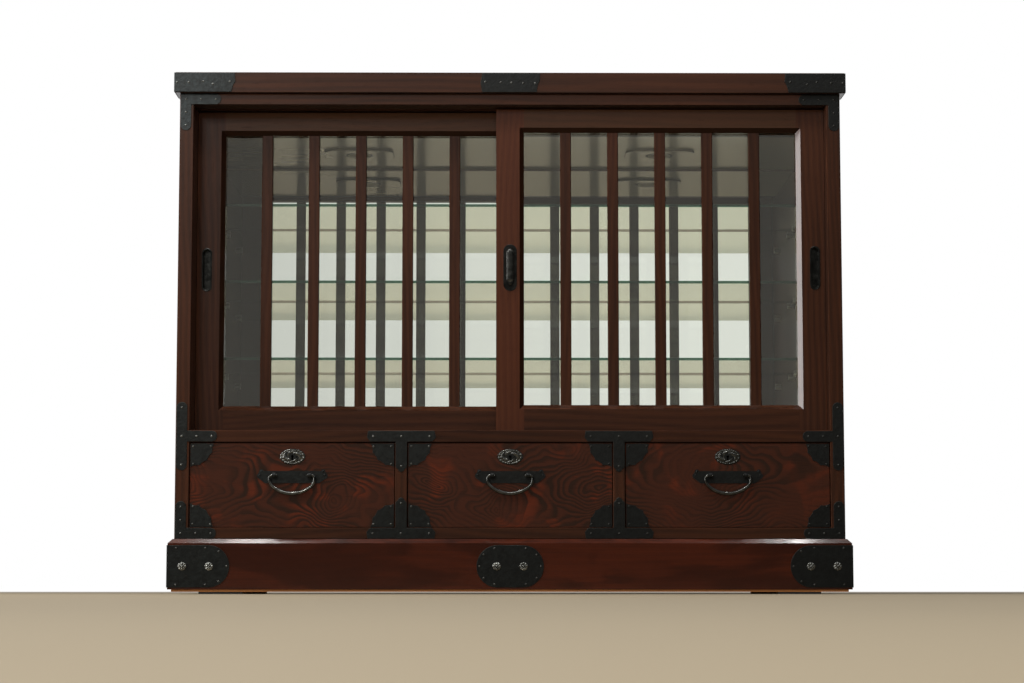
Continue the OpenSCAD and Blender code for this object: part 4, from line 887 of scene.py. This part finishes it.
class CABINET_OT_bails(CabinetPart, bpy.types.Operator):
    """Forge the three bails, thicker towards their lowest point"""
    bl_idname = "cabinet.bails"
    bl_label = "Bail handles"

    def make(self, sizes, colours):
        iron = polished_iron("bail_iron", colours, bright=1.2, rough=0.05, dents=0.1)
        pin, pin_r, half = bail_path()
        way = np.linspace(0, 1, len(half))
        swell = sizes.bail_end / MM + (sizes.bail_middle - sizes.bail_end) / MM * (
            0.5 - 0.5 * np.cos(np.pi * np.clip(way * 1.15 - 0.1, 0, 1)))
        path = np.concatenate([pin, half])
        radii = np.concatenate([pin_r, swell])
        path = np.concatenate([path, path[-2::-1] * [-1, 1]]) * MM
        radii = np.concatenate([radii, radii[-2::-1]]) * MM
        bar = round_bar(path, radii)
        faces = grid_faces(*bar.shape[:2]) + end_caps(*bar.shape[:2])
        for side in SIDES:
            hinge = np.array(JOINTS[f"{side}_bail_hinge"]["pos_m"])
            piece = mesh_piece(f"{side}_bail", bar + hinge, faces, iron)
            settle(piece, f"{side}_bail", "iron", f"{side}_drawer_bail")


class CABINET_OT_stage(CabinetPart, bpy.types.Operator):
    """Set the floor, the soft lights, the world and the camera"""
    bl_idname = "cabinet.stage"
    bl_label = "Floor, lights and camera"

    def make(self, sizes, colours):
        scene = bpy.context.scene
        floor_size = 30.0
        corners = np.array([[-1, -1, 0], [1, -1, 0], [1, 1, 0], [-1, 1, 0]]) * floor_size
        floor = Finish("pale_floor")
        x, y, z = floor.place()
        cloud = floor.noise(x * 1.5, y * 1.5, z, detail=3)
        shade = floor.blend(cloud, scaled(colours.floor, 0.96), colours.floor[:])
        # Behind the viewer the floor is darker and warmer
        shade = floor.blend(y.step(-4.2, -5.6), shade, scaled(colours.floor, 0.86, 0.80, 0.64))
        # Well behind the cabinet the floor turns into the plain white of the background
        away = y.step(0.8, 4.0)
        shade = floor.blend(away, shade, (0, 0, 0))
        white = floor.blend(away, (0, 0, 0), (1, 1, 1))
        skin = floor.surface(Base_Color=shade, Roughness=0.7, Emission_Color=white, Emission_Strength=1.0)
        ground = mesh_piece("floor", corners, [[0, 1, 2, 3]], floor.done(skin), smooth=False)

        # What a satin surface sees: a dark room, brighter towards its ceiling and its left side.
        # Matt surfaces, mirrors and the camera each see a plain light of their own.
        sky = Sky("studio")
        right, _, up = sky.split(sky.add("ShaderNodeTexCoord", out="Generated"))
        shade = sky.blend((up - right * 0.3).step(0.09, 0.30), (0.032, 0.030, 0.027), (0.52, 0.51, 0.49))
        for ray, light in (("Is Diffuse Ray", (0.27, 0.272, 0.275)),
                           ("Is Singular Ray", (0.84, 0.83, 0.78)),
                           ("Is Camera Ray", (1, 1, 1))):
            shade = sky.blend(sky.add("ShaderNodeLightPath", out=ray), shade, light)
        scene.world = sky.done(sky.add("ShaderNodeBackground", sockets={"Color": shade}))

        # Each light: its place, its size, its power and its tint. The glints are the small lights
        # that the plinth's chamfer shows, and the fill is seen in no shiny surface.
        aim = (0.0, -0.2, 0.5)
        lights = [
            ("side_window", (-2.9, -0.9, 1.0), (0.75, 1.7), sizes.side_light, (1.0, 0.98, 0.97)),
            ("overhead", (-0.45, -1.5, 2.6), (1.6, 0.6), sizes.top_light, (1.0, 0.98, 0.98)),
            ("key", (-2.0, -2.5, 2.5), (1.2, 1.2), sizes.key_light, (1.0, 0.98, 0.95)),
            ("fill", (-0.2, -4.5, 0.9), (2.6, 1.4), sizes.fill_light, (1.0, 0.98, 0.95)),
            ("high_window", (-1.6, -4.2, 2.3), (0.5, 0.5), sizes.window_light, (1.0, 0.97, 0.92)),
            ("glint_left", (-0.725, -0.27, 2.6), (0.16, 0.14), sizes.glint_light, (1.0, 0.98, 0.96)),
            ("glint_right", (0.813, -0.27, 2.6), (0.16, 0.09), sizes.glint_light * 0.5, (1.0, 0.99, 0.98)),
        ]
        for name, place, size, power, tint in lights:
            lamp = bpy.data.lights.new(name, "AREA")
            lamp.shape = "RECTANGLE"
            lamp.size, lamp.size_y = size
            lamp.energy = power
            lamp.color = tint
            stand = bpy.data.objects.new(name, lamp)
            scene.collection.objects.link(stand)
            stand.location = place
            stand.rotation_mode = "QUATERNION"
            stand.rotation_quaternion = look_from(place, aim)
            stand.visible_glossy = name != "fill"

        lens = bpy.data.cameras.new("camera")
        lens.lens, lens.sensor_width, lens.shift_y = 77.5, 36.0, 0.045
        camera = bpy.data.objects.new("camera", lens)
        scene.collection.objects.link(camera)
        pitch, yaw = math.radians(5.205), math.radians(0.388)
        camera.location = (-0.0231, -4.094, 0.010)
        camera.rotation_euler = (math.pi / 2 + pitch, 0, -yaw)
        scene.camera = camera
        scene.view_settings.view_transform = "Standard"


def look_from(place, target):
    """Rotation that points a light's -Z from one place at another"""
    return (Vector(target) - Vector(place)).to_track_quat("-Z", "Y")


OPERATORS = (CABINET_OT_boards, CABINET_OT_plinth, CABINET_OT_drawers, CABINET_OT_inside,
             CABINET_OT_glass, CABINET_OT_irons, CABINET_OT_grip, CABINET_OT_studs, CABINET_OT_rosettes,
             CABINET_OT_locks, CABINET_OT_bails, CABINET_OT_stage)


class CABINET_PT_panel(bpy.types.Panel):
    """Buttons for the cabinet's pieces"""
    bl_label = "Display cabinet"
    bl_idname = "CABINET_PT_panel"
    bl_space_type = "VIEW_3D"
    bl_region_type = "UI"
    bl_category = "Cabinet"

    def draw(self, context):
        for group in (context.scene.cabinet_sizes, context.scene.cabinet_colours):
            box = self.layout.box()
            for key in group.__annotations__:
                box.prop(group, key)
        for operator in OPERATORS:
            self.layout.operator(operator.bl_idname)


CLASSES = (CabinetSizes, CabinetColours, *OPERATORS, CABINET_PT_panel)


def register():
    for cls in CLASSES:
        bpy.utils.register_class(cls)
    bpy.types.Scene.cabinet_sizes = PointerProperty(type=CabinetSizes)
    bpy.types.Scene.cabinet_colours = PointerProperty(type=CabinetColours)


def unregister():
    del bpy.types.Scene.cabinet_colours
    del bpy.types.Scene.cabinet_sizes
    for cls in reversed(CLASSES):
        bpy.utils.unregister_class(cls)


def main():
    register()
    for operator in OPERATORS:
        group, name = operator.bl_idname.split(".")
        getattr(getattr(bpy.ops, group), name)()


if __name__ == "__main__":
    main()
